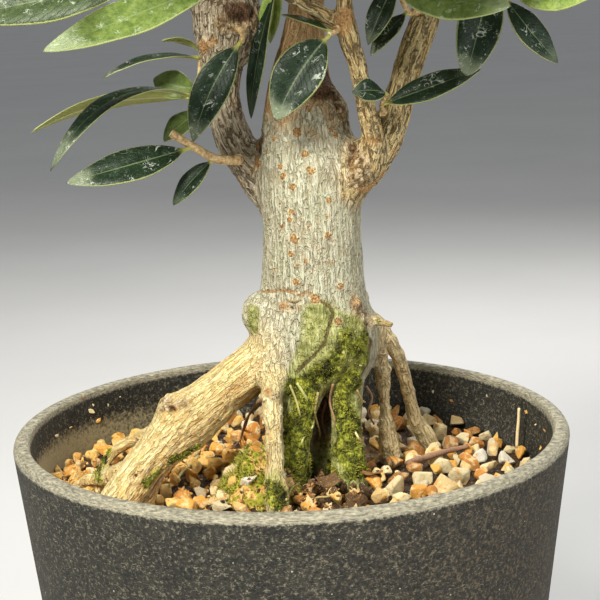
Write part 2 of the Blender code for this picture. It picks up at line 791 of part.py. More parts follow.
def grow_stems(rng):
    """A stem to each tip of the dome, from the best placed point of a limb: its rows and the way it ends."""
    joints = joints_of([TRUNK, *LIMBS.values()])
    stems = []
    for tip, way in dome_tips():
        tip = free_tip(tip, rng)
        best = None
        for place, along, radius in joints:
            reach = tip - place
            length = np.linalg.norm(reach)
            if length < SHORTEST_STEM:
                continue
            turn = 1.0 - float(along @ reach) / length
            cost = length * (1.0 + 0.6 * turn)
            if best is None or cost < best[0]:
                best = (cost, place, along, radius, length)
        _, place, along, radius, length = best
        out = unit(way + np.array((0.0, 0.0, 0.25)))
        line = hermite(place, along * 0.5 * length, tip - out * STUB, out * 0.8 * length, 2)
        line = np.vstack([line, tip])
        base = min(STEM_BASE_RADIUS, radius * 0.8)
        radii = np.linspace(max(base, STEM_TIP_RADIUS), STEM_TIP_RADIUS, len(line))
        stems.append((np.column_stack([line, radii]), out))
        for before, here, after in zip(line[:-2], line[1:-1], line[2:]):
            joints.append((here, unit(after - before), STEM_BASE_RADIUS))
    return stems


def blade_line(leaf, t):
    """A point of the leaf's middle line, with its way along the blade, across it and off its upper face."""
    base, tip, _, face, arch = leaf
    chord = tip - base
    along = unit(chord)
    face = unit(face - along * (face @ along))
    point = base + chord * t + face * arch * 4 * t * (1 - t)
    way = unit(chord + face * arch * 4 * (1 - 2 * t))
    across = unit(np.cross(way, face))
    return point, way, across, np.cross(across, way)


def blade_width(t):
    """The share of the full width at t, from the narrow stalk through the belly to the pointed end."""
    return max(0.11, math.sin(math.pi * min(t, 1.0) ** 0.9) ** 0.72) if t < 0.999 else 0.0


def blade_samples(leaf):
    """Points spread over the blade, close enough together to tell how near two leaves come."""
    found = []
    for t in np.linspace(0.14, 1.0, 18):
        point, _, across, _ = blade_line(leaf, t)
        half = 0.5 * leaf[2] * blade_width(t)
        for side in (-1.0, -0.6, -0.2, 0.2, 0.6, 1.0):
            found.append(point + across * half * side)
    return np.array(found)


def nearest(points, others):
    """The least distance between two groups of points."""
    return math.sqrt(((points[:, None, :] - others[None, :, :]) ** 2).sum(axis=2).min())


def clear_of_stems(points, starts, ends, radii):
    """Whether all the points stay clear of the round stems given by their segments."""
    span = ends - starts
    reach = points[:, None, :] - starts[None, :, :]
    t = np.clip((reach * span).sum(axis=2) / (span * span).sum(axis=1), 0.0, 1.0)
    gap = np.linalg.norm(reach - span * t[:, :, None], axis=2) - radii
    return gap.min() > STEM_CLEARANCE


def twig_frame(way):
    side = unit(np.cross(way, (0.31, 0.22, 1.0)))
    return side, np.cross(side, way)


def free_leaf(point, way, turn, scale, rng):
    """One leaf of a pair: it leaves the twig at a slant, looks towards the twig's end and sags a little."""
    side, other = twig_frame(way)
    angle = math.radians(turn + rng.uniform(-22.0, 22.0))
    out = side * math.cos(angle) + other * math.sin(angle)
    slant = math.radians(rng.uniform(32.0, 62.0))
    along = unit(way * math.cos(slant) + out * math.sin(slant))
    length = rng.uniform(*LEAF_LENGTH) * scale
    width = length * rng.uniform(*LEAF_SLENDER)
    face = way - along * (way @ along)
    base = point + out * 0.35 - along * 0.3
    tip = base + along * length - np.array((0.0, 0.0, rng.uniform(0.0, 5.0)))
    return (base, tip, width, face, rng.uniform(1.0, 4.0))


def underside(x):
    return UNDERSIDE_LEVEL + UNDERSIDE_TILT * x


def stem_segments(stems):
    lines = [smooth(rows, 3) for rows in [TRUNK, TORN_TOP, *LIMBS.values()]] + [rows for rows, _ in stems]
    starts = np.vstack([line[:-1, :3] for line in lines])
    ends = np.vstack([line[1:, :3] for line in lines])
    radii = np.concatenate([np.maximum(line[:-1, 3], line[1:, 3]) for line in lines])
    return starts, ends, radii


class Crown:
    """The leafy shoots placed so far, and the test that keeps each new leaf clear of the others."""

    def __init__(self, stems, rng):
        self.starts, self.ends, self.radii = stem_segments(stems)
        self.rng = rng
        self.placed = []
        self.shoots = []

    def add_twig(self, line, radii):
        thick = np.linspace(*radii, len(line))
        self.starts = np.vstack([self.starts, line[:-1]])
        self.ends = np.vstack([self.ends, line[1:]])
        self.radii = np.concatenate([self.radii, thick[:-1]])

    def clear_of_leaves(self, points):
        middle = points.mean(axis=0)
        reach = np.linalg.norm(points - middle, axis=1).max()
        for other_middle, other_reach, others in self.placed:
            if np.linalg.norm(middle - other_middle) < reach + other_reach + LEAF_CLEARANCE:
                if nearest(points, others) < LEAF_CLEARANCE:
                    return False
        return True

    def fits(self, leaf):
        points = blade_samples(leaf)
        if (points[:, 2] < underside(points[:, 0])).any() or not self.clear_of_leaves(points):
            return False
        off_twig = points[6:]
        return clear_of_stems(off_twig, self.starts, self.ends, self.radii)

    def twig_fits(self, line):
        points = smooth(line, 6)
        return self.clear_of_leaves(points) and clear_of_stems(points[6:], self.starts, self.ends, self.radii)

    def keep(self, leaf):
        points = blade_samples(leaf)
        middle = points.mean(axis=0)
        self.placed.append((middle, np.linalg.norm(points - middle, axis=1).max(), points))

    def try_leaf(self, point, way, turn, scale):
        for _ in range(TRIES):
            leaf = free_leaf(point, way, turn, scale, self.rng)
            if self.fits(leaf):
                self.keep(leaf)
                return [leaf]
        return []


def along_line(line, share):
    """The point at a share of the line's length, counted in its spans, and the line's way there."""
    at = share * (len(line) - 1)
    i = min(int(at), len(line) - 2)
    return line[i] + (line[i + 1] - line[i]) * (at - i), unit(line[i + 1] - line[i])


def seated(base, line):
    """The place on the twig that is nearest to where a leaf's stalk was given."""
    spans = line[1:] - line[:-1]
    t = np.clip(((base - line[:-1]) * spans).sum(axis=1) / (spans * spans).sum(axis=1), 0.0, 1.0)
    places = line[:-1] + spans * t[:, None]
    away = base - places
    i = np.linalg.norm(away, axis=1).argmin()
    reach = np.linalg.norm(away[i])
    return places[i] + away[i] * min(1.0, 0.35 / max(reach, 0.001))


def low_shoots(crown):
    """The shoots given one by one: their own leaves first, so that no free leaf takes their place."""
    waiting = []
    for row in LOW_SHOOTS.values():
        start, way = on_wood(np.array(row["twig"][0]))
        line = np.array([start, start + way * STUB, *row["twig"][1:]])
        leaves = []
        for base, tip, width, face, arch in row["leaves"]:
            leaf = (seated(np.array(base), line), np.array(tip), width, np.array(face), arch)
            leaves.append(leaf)
            crown.keep(leaf)
        crown.add_twig(line, row["radii"])
        waiting.append((line, row, leaves))
    for line, row, leaves in waiting:
        for share, turn in row["free"]:
            point, way = along_line(line, share)
            leaves += crown.try_leaf(point, way, turn, 0.9)
        crown.shoots.append((line, row["radii"], leaves))


def free_twig(start, out, rng):
    """A twig that leaves its stem straight and then turns a little up and aside."""
    length = rng.uniform(*TWIG_LENGTH)
    bend = np.array((rng.uniform(-0.4, 0.4), rng.uniform(-0.4, 0.4), rng.uniform(0.1, 0.5)))
    knee = start + out * length / 3
    rest = length * 2 / 3
    line = hermite(knee, out * rest, knee + unit(out + 0.5 * bend) * rest, unit(out + bend) * rest, 2)
    return np.vstack([start, line])


def free_shoots(crown, stems):
    """A curved twig on each stem's end, with pairs of leaves, each pair a quarter turn from the last."""
    twigs = []
    for rows, out in stems:
        start = rows[-1, :3] + out * SEAT_GAP
        for _ in range(TRIES):
            line = free_twig(start, out, crown.rng)
            if crown.twig_fits(line):
                break
        twigs.append(line)
        crown.add_twig(line[1:], TWIG_RADII)
    for line in twigs:
        leaves = []
        first_turn = crown.rng.uniform(0.0, 180.0)
        for pair, share in enumerate(LEAF_PLACES):
            point, way = along_line(line, share)
            scale = END_LEAF_SCALE if share == LEAF_PLACES[-1] else 1.0
            for half in (0.0, 180.0):
                leaves += crown.try_leaf(point, way, first_turn + 90.0 * pair + half, scale)
        crown.shoots.append((line, TWIG_RADII, leaves))


def blade(name, leaf, home):
    """One leaf as a thin closed blade, with both faces split alike."""
    stations = (0.0, 0.34, 0.74)
    shape = bmesh.new()
    rows = []
    for t in stations:
        point, _, across, _ = blade_line(leaf, t)
        half = 0.5 * leaf[2] * blade_width(t)
        rows.append([shape.verts.new((point + across * half * side) * MM) for side in (-1, 1)])
    for (a, b), (c, d) in zip(rows[:-1], rows[1:]):
        shape.faces.new((a, b, d))
        shape.faces.new((a, d, c))
    tip = shape.verts.new(leaf[1] * MM)
    shape.faces.new((*rows[-1], tip))
    mesh = bpy.data.meshes.new(name)
    shape.to_mesh(mesh)
    shape.free()
    obj = mesh_object(name, mesh, home)
    thick = obj.modifiers.new("Thickness", "SOLIDIFY")
    thick.thickness = BLADE_THICKNESS * MM
    thick.offset = 0.0
    obj.data = applied(obj)
    obj.modifiers.clear()
    return obj


def build_shoot(name, line, radii, leaves, home, work):
    """One leafy shoot: the twig and its leaves joined into one body."""
    rows = np.column_stack([line, np.linspace(*radii, len(line))])
    twig = tube(name, rows, home, roundness=0)
    for i, leaf in enumerate(leaves):
        blade(f"{name}_leaf_{i}", leaf, work)
    boolean(twig, work, "UNION")
    twig.data.materials.append(material("olive_leaf"))
    return twig


def sides_for(rows):
    """The bevel resolution that suits a stem: 10 sides on a thick one, 8 or 6 on a thinner one."""
    thick = max(row[3] for row in rows[1:])
    if thick > 8.0:
        return 3
    return 2 if thick > 4.5 else 1


def build_tree(stems, home, work):
    """Trunk, roots, limbs and crown stems, joined into the one piece of wood that grew."""
    tree = tube("tree", np.array(TRUNK), home, roundness=4)
    for name, rows in {"torn_top": TORN_TOP, "ear_burl": EAR_BURL, **ROOTS, **LIMBS}.items():
        tube(name, np.array(rows), work, roundness=sides_for(rows))
    for i, (rows, _) in enumerate(stems):
        tube(f"stem_{i}", rows, work, roundness=0)
    boolean(tree, work, "UNION")
    tree.data.materials.append(material("olive_bark"))
    return tree


def cut_root_holes(soil, cutters):
    """Plain holes for the roots, the gap wider than the roots themselves."""
    for name, rows in ROOTS.items():
        if rows[-1][2] < GRIT_LEVEL:
            tube(f"{name}_hole", np.array(rows), cutters, roundness=sides_for(rows), more=SEAT_GAP + 0.05)
    boolean(soil, cutters, "DIFFERENCE")


def main():
    clear_scene()
    home = collection("Olive bonsai")
    work = collection("Shapes to join or cut")
    build_pot(home, work)
    build_drainage_mesh(home, work)
    soil = build_soil(home)
    cut_root_holes(soil, work)
    rng = random.Random(CROWN_SEED)
    stems = grow_stems(rng)
    build_tree(stems, home, work)
    crown = Crown(stems, rng)
    low_shoots(crown)
    free_shoots(crown, stems)
    for i, (line, radii, leaves) in enumerate(crown.shoots):
        build_shoot(f"leafy_shoot_{i + 1:02d}", line, radii, leaves, home, work)
    bpy.data.collections.remove(work)
    print("shoots", len(crown.shoots), "leaves", sum(len(leaves) for _, _, leaves in crown.shoots))


main()
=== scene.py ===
# %% [markdown]
# # An olive bonsai in its training pot
#
# This lesson dresses a small olive tree: a pale trunk on bared roots, dark glossy leaves, orange grit and a round
# pot of speckled clay. The plain solids of the pot, the soil, the wood and each leafy shoot are already there, at
# their real size. We load them first, because every fine piece takes its size and place from them.

# %% Load the plain solids and keep their box
import math
import random
import bmesh
import bpy
import numpy as np
from mathutils import Matrix, Vector, noise
from mathutils.bvhtree import BVHTree


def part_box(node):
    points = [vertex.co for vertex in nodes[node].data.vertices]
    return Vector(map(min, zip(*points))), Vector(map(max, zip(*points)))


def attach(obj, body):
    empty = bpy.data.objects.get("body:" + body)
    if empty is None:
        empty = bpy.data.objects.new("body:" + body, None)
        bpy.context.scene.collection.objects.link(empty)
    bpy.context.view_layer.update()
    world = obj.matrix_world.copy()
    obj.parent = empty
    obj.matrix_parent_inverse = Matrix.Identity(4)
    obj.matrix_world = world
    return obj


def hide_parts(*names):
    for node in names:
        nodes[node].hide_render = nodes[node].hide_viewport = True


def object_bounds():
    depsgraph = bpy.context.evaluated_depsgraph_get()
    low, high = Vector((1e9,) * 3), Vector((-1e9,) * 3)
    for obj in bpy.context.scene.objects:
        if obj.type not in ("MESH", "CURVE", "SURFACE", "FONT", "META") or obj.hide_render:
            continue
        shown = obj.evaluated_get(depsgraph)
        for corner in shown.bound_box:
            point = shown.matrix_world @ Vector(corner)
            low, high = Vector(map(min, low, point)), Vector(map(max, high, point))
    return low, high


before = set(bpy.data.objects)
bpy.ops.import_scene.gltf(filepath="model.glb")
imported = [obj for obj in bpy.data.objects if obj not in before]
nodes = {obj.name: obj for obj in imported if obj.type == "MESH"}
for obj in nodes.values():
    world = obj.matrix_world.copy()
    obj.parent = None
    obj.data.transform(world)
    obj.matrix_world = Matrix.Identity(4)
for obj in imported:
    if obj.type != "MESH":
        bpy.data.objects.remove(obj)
cad_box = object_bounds()
print("solids:", len(nodes), "box in mm:", [[round(1000 * v) for v in corner] for corner in cad_box])

# %% [markdown]
# ## Small tools
#
# A tree is easiest to think of in millimetres, so every size below is in millimetres and MM turns it into metres
# when a mesh is made. Fine natural surfaces are made of many points, so the shapes are worked out as rows of
# numbers with numpy and only then handed to Blender.

# %% Millimetres, unit vectors and a mesh from points
MM = 0.001


def unit(vector):
    return np.asarray(vector, float) / np.linalg.norm(vector)


def unit_rows(rows):
    return rows / np.maximum(np.linalg.norm(rows, axis=1, keepdims=True), 1e-9)


def ease(value, low, high):
    """0 at `low`, 1 at `high` and a soft step between, for single numbers and for rows of them."""
    t = np.clip((np.asarray(value, float) - low) / (high - low), 0.0, 1.0)
    return t * t * (3 - 2 * t)


def wander(points, wavelength, shift=0.0):
    """Smooth noise from -1 to 1 at each point, whose bumps are about one wavelength apart."""
    rows = (np.asarray(points) / wavelength + shift).tolist()
    return np.fromiter((noise.noise(row) for row in rows), float, len(rows))


def give_attribute(mesh, name, values):
    """Stores a number or a vector on every point of the mesh, for the finish to read."""
    values = np.asarray(values, np.float32)
    kind, key = ("FLOAT", "value") if values.ndim == 1 else ("FLOAT_VECTOR", "vector")
    mesh.attributes.new(name, kind, "POINT").data.foreach_set(key, values.ravel())


def piece(name, points, faces, finishes, which=None, smooth_faces=True, **attributes):
    """An object from points in millimetres. `which` says the finish of each face where there are several."""
    mesh = bpy.data.meshes.new(name)
    mesh.from_pydata((np.asarray(points, float) * MM).tolist(), [], [list(face) for face in faces])
    for finish in finishes:
        mesh.materials.append(finish)
    if which is not None:
        mesh.polygons.foreach_set("material_index", np.asarray(which, np.int32))
    mesh.polygons.foreach_set("use_smooth", np.full(len(mesh.polygons), smooth_faces))
    for key, values in attributes.items():
        give_attribute(mesh, key, values)
    mesh.update()
    made = bpy.data.objects.new(name, mesh)
    bpy.context.scene.collection.objects.link(made)
    return made


def joined(parts):
    """Puts (points, faces, attribute rows) of many small shapes into one set of each."""
    points, faces, rows, start = [], [], {}, 0
    for shape_points, shape_faces, shape_rows in parts:
        points.append(shape_points)
        faces += [[start + i for i in face] for face in shape_faces]
        for key, values in shape_rows.items():
            rows.setdefault(key, []).append(values)
        start += len(shape_points)
    return np.vstack(points), faces, {key: np.concatenate(values) for key, values in rows.items()}


print("one unit here is", MM, "m")

# %% [markdown]
# A finish is a material with shader nodes: noise, cells, ramps and bump. Writing each node out takes many lines,
# so this small class gives them short calls. Whatever is the same all over a surface is set on the shader itself.

# %% Short calls for the shader nodes
class Finish:
    """A Principled material, and short calls for the nodes that give it its grain."""

    def __init__(self, name, **sockets):
        self.material = bpy.data.materials.new(name)
        self.material.use_nodes = True
        self.tree = self.material.node_tree
        self.shader = self.tree.nodes["Principled BSDF"]
        for socket, value in sockets.items():
            self.shader.inputs[socket.replace("_", " ")].default_value = value

    def give(self, socket, value):
        if isinstance(value, bpy.types.NodeSocket):
            self.tree.links.new(value, socket)
        elif isinstance(value, tuple) and len(socket.default_value) > len(value):
            socket.default_value = (*value, 1.0)
        else:
            socket.default_value = value

    def node(self, kind, inputs, **settings):
        made = self.tree.nodes.new(kind)
        for key, value in settings.items():
            setattr(made, key, value)
        for key, value in inputs.items():
            self.give(made.inputs[key], value)
        return made

    def read(self, name, part="Fac"):
        """A number or a vector that was stored on the mesh's points."""
        return self.node("ShaderNodeAttribute", {}, attribute_name=name).outputs[part]

    def place(self, x=1.0, y=1.0, z=1.0):
        """The point's place in millimetres, stretched along each axis."""
        at = self.node("ShaderNodeTexCoord", {}).outputs["Object"]
        scale = tuple(share / MM for share in (x, y, z))
        return self.node("ShaderNodeVectorMath", {0: at, 1: scale}, operation="MULTIPLY").outputs[0]

    def noise(self, at, scale, detail=3.0, rough=0.55, twist=0.0):
        inputs = {"Vector": at, "Scale": scale, "Detail": detail, "Roughness": rough, "Distortion": twist}
        return self.node("ShaderNodeTexNoise", inputs).outputs["Fac"]

    def cells(self, at, scale, output="Distance", feature="F1"):
        inputs = {"Vector": at, "Scale": scale}
        return self.node("ShaderNodeTexVoronoi", inputs, feature=feature).outputs[output]

    def lines(self, at, scale, width, twist=0.4):
        """1 along thin winding lines, where the noise passes through its middle, and 0 away from them."""
        wave = self.noise(at, scale, 3.0, 0.6, twist)
        return self.span(self.math("ABSOLUTE", self.math("SUBTRACT", wave, 0.5)), width, 0.2 * width)

    def span(self, value, low, high, bottom=0.0, top=1.0):
        """Brings low..high to bottom..top with a soft step."""
        inputs = {"Value": value, "From Min": low, "From Max": high, "To Min": bottom, "To Max": top}
        return self.node("ShaderNodeMapRange", inputs, interpolation_type="SMOOTHSTEP").outputs["Result"]

    def math(self, operation, first, second=0.0):
        return self.node("ShaderNodeMath", {0: first, 1: second}, operation=operation).outputs[0]

    def times(self, *values):
        total = values[0]
        for value in values[1:]:
            total = self.math("MULTIPLY", total, value)
        return total

    def plus(self, *values):
        total = values[0]
        for value in values[1:]:
            total = self.math("ADD", total, value)
        return total

    def mix(self, share, first, second):
        made = self.node("ShaderNodeMix", {}, data_type="RGBA")
        for index, value in ((0, share), (6, first), (7, second)):
            self.give(made.inputs[index], value)
        return made.outputs[2]

    def ramp(self, value, *stops):
        made = self.node("ShaderNodeValToRGB", {"Fac": value})
        elements = made.color_ramp.elements
        for i, (at, colour) in enumerate(stops):
            element = elements[i] if i < 2 else elements.new(at)
            element.position = at
            element.color = (*colour, 1.0)
        return made.outputs["Color"]

    def bump(self, height, depth):
        """Relief of `depth` millimetres where the height goes from 0 to 1."""
        made = self.node("ShaderNodeBump", {"Height": height, "Strength": 1.0, "Distance": depth * MM})
        self.give(self.shader.inputs["Normal"], made.outputs["Normal"])

    def paint(self, colour, roughness):
        self.give(self.shader.inputs["Base Color"], colour)
        self.give(self.shader.inputs["Roughness"], roughness)
        return self.material


print("finish tools ready")

# %% [markdown]
# ## Camera, light and floor
#
# The photograph was taken a little above the pot's rim, from about 42 cm away, and the camera was tipped slightly
# to one side. Setting the camera up by those angles gives the same perspective. Its three directions also serve
# later as a ruler: `sight` turns a place in the 600 by 600 picture into a line of sight, and where that line meets
# the wood or the grit is where a mark of the photograph belongs.

# %% Set up the camera
PICTURE = 600
LENS = 90.0
SENSOR = 36.0
PITCH, YAW, ROLL = (math.radians(angle) for angle in (11.870, 0.498, -1.804))
EYE = np.array((0.0, -420.5, 244.4))

ahead = np.array((math.sin(YAW) * math.cos(PITCH), math.cos(YAW) * math.cos(PITCH), -math.sin(PITCH)))
level_right = np.array((math.cos(YAW), -math.sin(YAW), 0.0))
level_up = np.cross(level_right, ahead)
right = math.cos(ROLL) * level_right + math.sin(ROLL) * level_up
up = math.cos(ROLL) * level_up - math.sin(ROLL) * level_right

lens = bpy.data.cameras.new("camera")
lens.lens = LENS
lens.sensor_width = SENSOR
lens.clip_start = 0.02
camera = bpy.data.objects.new("camera", lens)
bpy.context.scene.collection.objects.link(camera)
camera.matrix_world = Matrix.Translation(EYE * MM) @ Matrix(np.column_stack([right, up, -ahead])).to_4x4()
bpy.context.scene.camera = camera


def sight(px, py):
    """The direction in which the camera sees the pixel (px, py) of the 600 by 600 picture."""
    focal = PICTURE * LENS / SENSOR
    return unit(ahead + right * (px - PICTURE / 2) / focal - up * (py - PICTURE / 2) / focal)


print("camera looks along", np.round(sight(300, 300), 3))

# %% [markdown]
# A large soft lamp from the upper left is the main light, a weaker one from the right opens the shadows, and one
# from behind draws a thin bright edge on leaves and rim. The floor is pale and plain.

# %% Lamps, sky and floor
LAMPS = {
    "key": ((-350.0, -620.0, 780.0), 280.0, 15.5, (1.0, 0.97, 0.90)),
    "fill": ((640.0, -560.0, 420.0), 600.0, 3.2, (0.97, 0.98, 1.0)),
    "back": ((260.0, 620.0, 720.0), 420.0, 6.0, (1.0, 0.98, 0.95)),
}
LAMPS_LOOK_AT = Vector((0.0, 0.0, 0.17))
FLOOR_HALF = 30.0

for name, (place, width, watts, colour) in LAMPS.items():
    light = bpy.data.lights.new(name, "AREA")
    light.shape = "DISK"
    light.size = width * MM
    light.energy = watts
    light.color = colour
    lamp = bpy.data.objects.new(name, light)
    lamp.location = [value * MM for value in place]
    lamp.rotation_euler = (LAMPS_LOOK_AT - lamp.location).to_track_quat("-Z", "Y").to_euler()
    bpy.context.scene.collection.objects.link(lamp)

world = bpy.data.worlds.new("studio")
world.use_nodes = True
world.node_tree.nodes["Background"].inputs["Color"].default_value = (0.9, 0.92, 0.95, 1.0)
world.node_tree.nodes["Background"].inputs["Strength"].default_value = 0.32
bpy.context.scene.world = world
bpy.context.scene.view_settings.view_transform = "Standard"

floor_finish = Finish("pale_floor")
floor_grain = floor_finish.noise(floor_finish.place(), 0.004)
floor_tone = floor_finish.ramp(floor_grain, (0.3, (0.58, 0.58, 0.57)), (0.7, (0.62, 0.62, 0.61)))
floor_mesh = bpy.data.meshes.new("floor")
floor_corners = [(x * FLOOR_HALF, y * FLOOR_HALF, 0) for x, y in ((-1, -1), (1, -1), (1, 1), (-1, 1))]
floor_mesh.from_pydata(floor_corners, [], [(0, 1, 2, 3)])
floor_mesh.materials.append(floor_finish.paint(floor_tone, 0.75))
floor = bpy.data.objects.new("floor", floor_mesh)
bpy.context.scene.collection.objects.link(floor)
print("lamps:", list(LAMPS))

# %% [markdown]
# ## The pot
#
# The pot is thrown clay, fired dark: a straight taper, a wall five millimetres thick and a lip worn pale. A turned
# outline suits it, with rings close enough together that the clay's slight waves can be real relief. Drain holes
# and the grooves under them are cut out with a Boolean, as a potter cuts them.

# %% Turn the pot
POT_HEIGHT = 120.0
RIM_RADIUS = (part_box("pot")[1].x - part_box("pot")[0].x) / 2 / MM
SIDE_TAPER = 0.116
WALL = 5.0
FLOOR = 6.0
RIM_ROUND = 2.2
INNER_ROUND = 1.2
DRAIN_HOLES = 5
DRAIN_RING = 36.0
DRAIN_RADIUS = 4.5
DRAIN_GROOVE = (5.0, 2.0)
POT_SIDES = 216
RING_STEP = 2.0
CLAY_WAVES = 0.16


def side_radius(height):
    return RIM_RADIUS - SIDE_TAPER * (POT_HEIGHT - RIM_ROUND - height)


def inner_radius(height):
    return side_radius(height) - WALL


def arc(centre, radius, first, last, steps):
    turns = np.radians(np.linspace(first, last, steps + 1))
    return [(centre[0] + radius * math.cos(a), centre[1] + radius * math.sin(a)) for a in turns]


def turned(profile, sides):
    """Rings of points round the Z axis, one for each (radius, height), as a closed skin from axis to axis."""
    points, faces = [(0.0, 0.0, profile[0][1])], []
    for radius, height in profile:
        turns = 2 * math.pi * np.arange(sides) / sides
        points += list(zip(radius * np.cos(turns), radius * np.sin(turns), [height] * sides))
    points.append((0.0, 0.0, profile[-1][1]))
    for i in range(sides):
        j = (i + 1) % sides
        faces.append((0, 1 + i, 1 + j))
        last = 1 + (len(profile) - 1) * sides
        faces.append((len(points) - 1, last + j, last + i))
        for ring in range(len(profile) - 1):
            low = 1 + ring * sides
            faces.append((low + j, low + i, low + sides + i, low + sides + j))
    return np.array(points), faces


def pot_profile():
    top = POT_HEIGHT
    heights = np.arange(FLOOR + 5.0, top - INNER_ROUND - 0.5, RING_STEP)
    inside = [(radius, FLOOR) for radius in np.linspace(4.0, inner_radius(FLOOR) - 5.0, 14)]
    inside += arc((inner_radius(FLOOR) - 4.0, FLOOR + 4.0), 4.0, -80, -7, 4)
    inside += [(inner_radius(z), z) for z in heights]
    lip = arc((inner_radius(top) + INNER_ROUND, top - INNER_ROUND), INNER_ROUND, 173, 95, 4)
    lip += arc((RIM_RADIUS - RIM_ROUND, top - RIM_ROUND), RIM_ROUND, 88, 0, 7)
    outside = [(side_radius(z), z) for z in heights[::-1] if z > 3.0]
    outside += [(side_radius(z), z) for z in (9.0, 6.5, 4.0)]
    foot = arc((side_radius(2.0) - 1.8, 1.8), 1.8, -5, -85, 4)
    under = [(radius, 0.0) for radius in np.linspace(side_radius(0.0) - 4.0, 4.0, 16)]
    return inside + lip + outside + foot + under


def cut(made, cutter, operation="DIFFERENCE"):
    """A Boolean, worked into the mesh straight away."""
    step = made.modifiers.new("cut", "BOOLEAN")
    step.operation = operation
    step.object = cutter
    settle(made)
    bpy.data.objects.remove(cutter, do_unlink=True)


def settle(made):
    """Works the modifiers into the object's mesh."""
    bpy.context.view_layer.update()
    graph = bpy.context.evaluated_depsgraph_get()
    mesh = bpy.data.meshes.new_from_object(made.evaluated_get(graph))
    made.modifiers.clear()
    made.data = mesh


def points_of(made):
    """The object's points in millimetres, and their outward directions."""
    rows = np.empty(len(made.data.vertices) * 3, np.float32)
    made.data.vertices.foreach_get("co", rows)
    ways = np.empty(len(rows), np.float32)
    made.data.vertices.foreach_get("normal", ways)
    return rows.reshape(-1, 3).astype(float) / MM, ways.reshape(-1, 3).astype(float)


def put_points(made, points):
    made.data.vertices.foreach_set("co", (points * MM).astype(np.float32).ravel())
    made.data.update()


pot_points, pot_faces = turned(pot_profile(), POT_SIDES)
pot = piece("pot_of_speckled_clay", pot_points, pot_faces, [])
for k in range(DRAIN_HOLES):
    angle = 2 * math.pi * (k + 0.25) / DRAIN_HOLES
    out = np.array((math.cos(angle), math.sin(angle), 0.0))
    across = np.array((-out[1], out[0], 0.0))
    hole_profile = [(DRAIN_RADIUS, z) for z in (3 * FLOOR, -2 * FLOOR)]
    hole_points, hole_faces = turned(hole_profile, 36)
    cut(pot, piece("hole", hole_points + out * DRAIN_RING, hole_faces, []))
    width, depth = DRAIN_GROOVE
    corners = [
        out * reach + across * side * width / 2 + np.array((0.0, 0.0, height))
        for reach in (DRAIN_RING, RIM_RADIUS)
        for side in (-1, 1)
        for height in (-depth, depth)
    ]
    sides = [(0, 1, 3, 2), (4, 6, 7, 5), (0, 4, 5, 1), (2, 3, 7, 6), (1, 5, 7, 3), (0, 2, 6, 4)]
    cut(pot, piece("groove", corners, sides, []))

pot_points, pot_ways = points_of(pot)
on_wall = ease(pot_points[:, 2], 3.0, 8.0)
hand_waves = wander(pot_points, 31.0) * 0.6 + wander(pot_points, 7.0, 5.0) * 0.25
hand_waves = hand_waves + wander(pot_points, 2.6, 9.0) * 0.15
put_points(pot, pot_points - pot_ways * (CLAY_WAVES * on_wall * (hand_waves * 0.5 + 0.5))[:, None])
print("pot:", len(pot.data.polygons), "faces, rim", round(2 * RIM_RADIUS, 1), "mm across")

# %% [markdown]
# The clay is near black with pale and brown flecks, short hair-like strokes where the body was brushed, a few white
# grains, and it turns warmer towards one side. The lip is rubbed to a light grey with streaks running round it, and
# inside the wall a tan dust of old water and grit clings above the soil.

# %% Finish of the clay
clay = Finish("speckled_clay", Specular_IOR_Level=0.25)
flat = clay.place()
strokes_at = clay.place(0.55, 0.55, 1.5)
mottle = clay.noise(flat, 0.11, 4.0, 0.6)
fleck = clay.noise(flat, 0.95, 4.0, 0.75)
strokes = clay.noise(strokes_at, 0.7, 3.0, 0.7, 2.4)
body = clay.ramp(mottle, (0.3, (0.019, 0.019, 0.016)), (0.7, (0.038, 0.036, 0.028)))
body = clay.mix(clay.span(fleck, 0.53, 0.67), body, (0.17, 0.155, 0.11))
body = clay.mix(clay.span(fleck, 0.48, 0.38, 0.0, 0.85), body, (0.008, 0.008, 0.007))
body = clay.mix(clay.span(strokes, 0.59, 0.68, 0.0, 0.75), body, (0.26, 0.24, 0.17))
warm_side = clay.read("warm")
body = clay.mix(clay.times(warm_side, clay.span(fleck, 0.45, 0.65), 0.6), body, (0.13, 0.088, 0.046))
dots = clay.times(clay.span(clay.cells(flat, 0.30), 0.075, 0.045), clay.span(mottle, 0.45, 0.6))
body = clay.mix(dots, body, (0.62, 0.58, 0.48))
rim_streaks = clay.noise(clay.place(0.5, 0.5, 2.5), 1.3, 4.0, 0.65)
rim_tone = clay.ramp(
    rim_streaks, (0.3, (0.09, 0.085, 0.065)), (0.5, (0.27, 0.25, 0.18)), (0.72, (0.52, 0.48, 0.34)),
)
rim_edge = clay.plus(clay.read("rim"), clay.times(clay.span(fleck, 0.3, 0.7), 0.35))
body = clay.mix(clay.span(rim_edge, 0.5, 0.95), body, rim_tone)
dusty = clay.span(clay.plus(clay.read("dust"), clay.times(fleck, 0.9)), 0.75, 1.1)
body = clay.mix(dusty, body, (0.36, 0.31, 0.18))
pits = clay.math("MAXIMUM", clay.span(fleck, 0.2, 0.75), clay.times(strokes, 0.8))
clay.bump(clay.plus(clay.times(pits, 0.7), clay.times(clay.noise(flat, 3.2, 2.0), 0.3)), 0.32)
clay_material = clay.paint(body, clay.span(fleck, 0.3, 0.75, 0.62, 0.9))

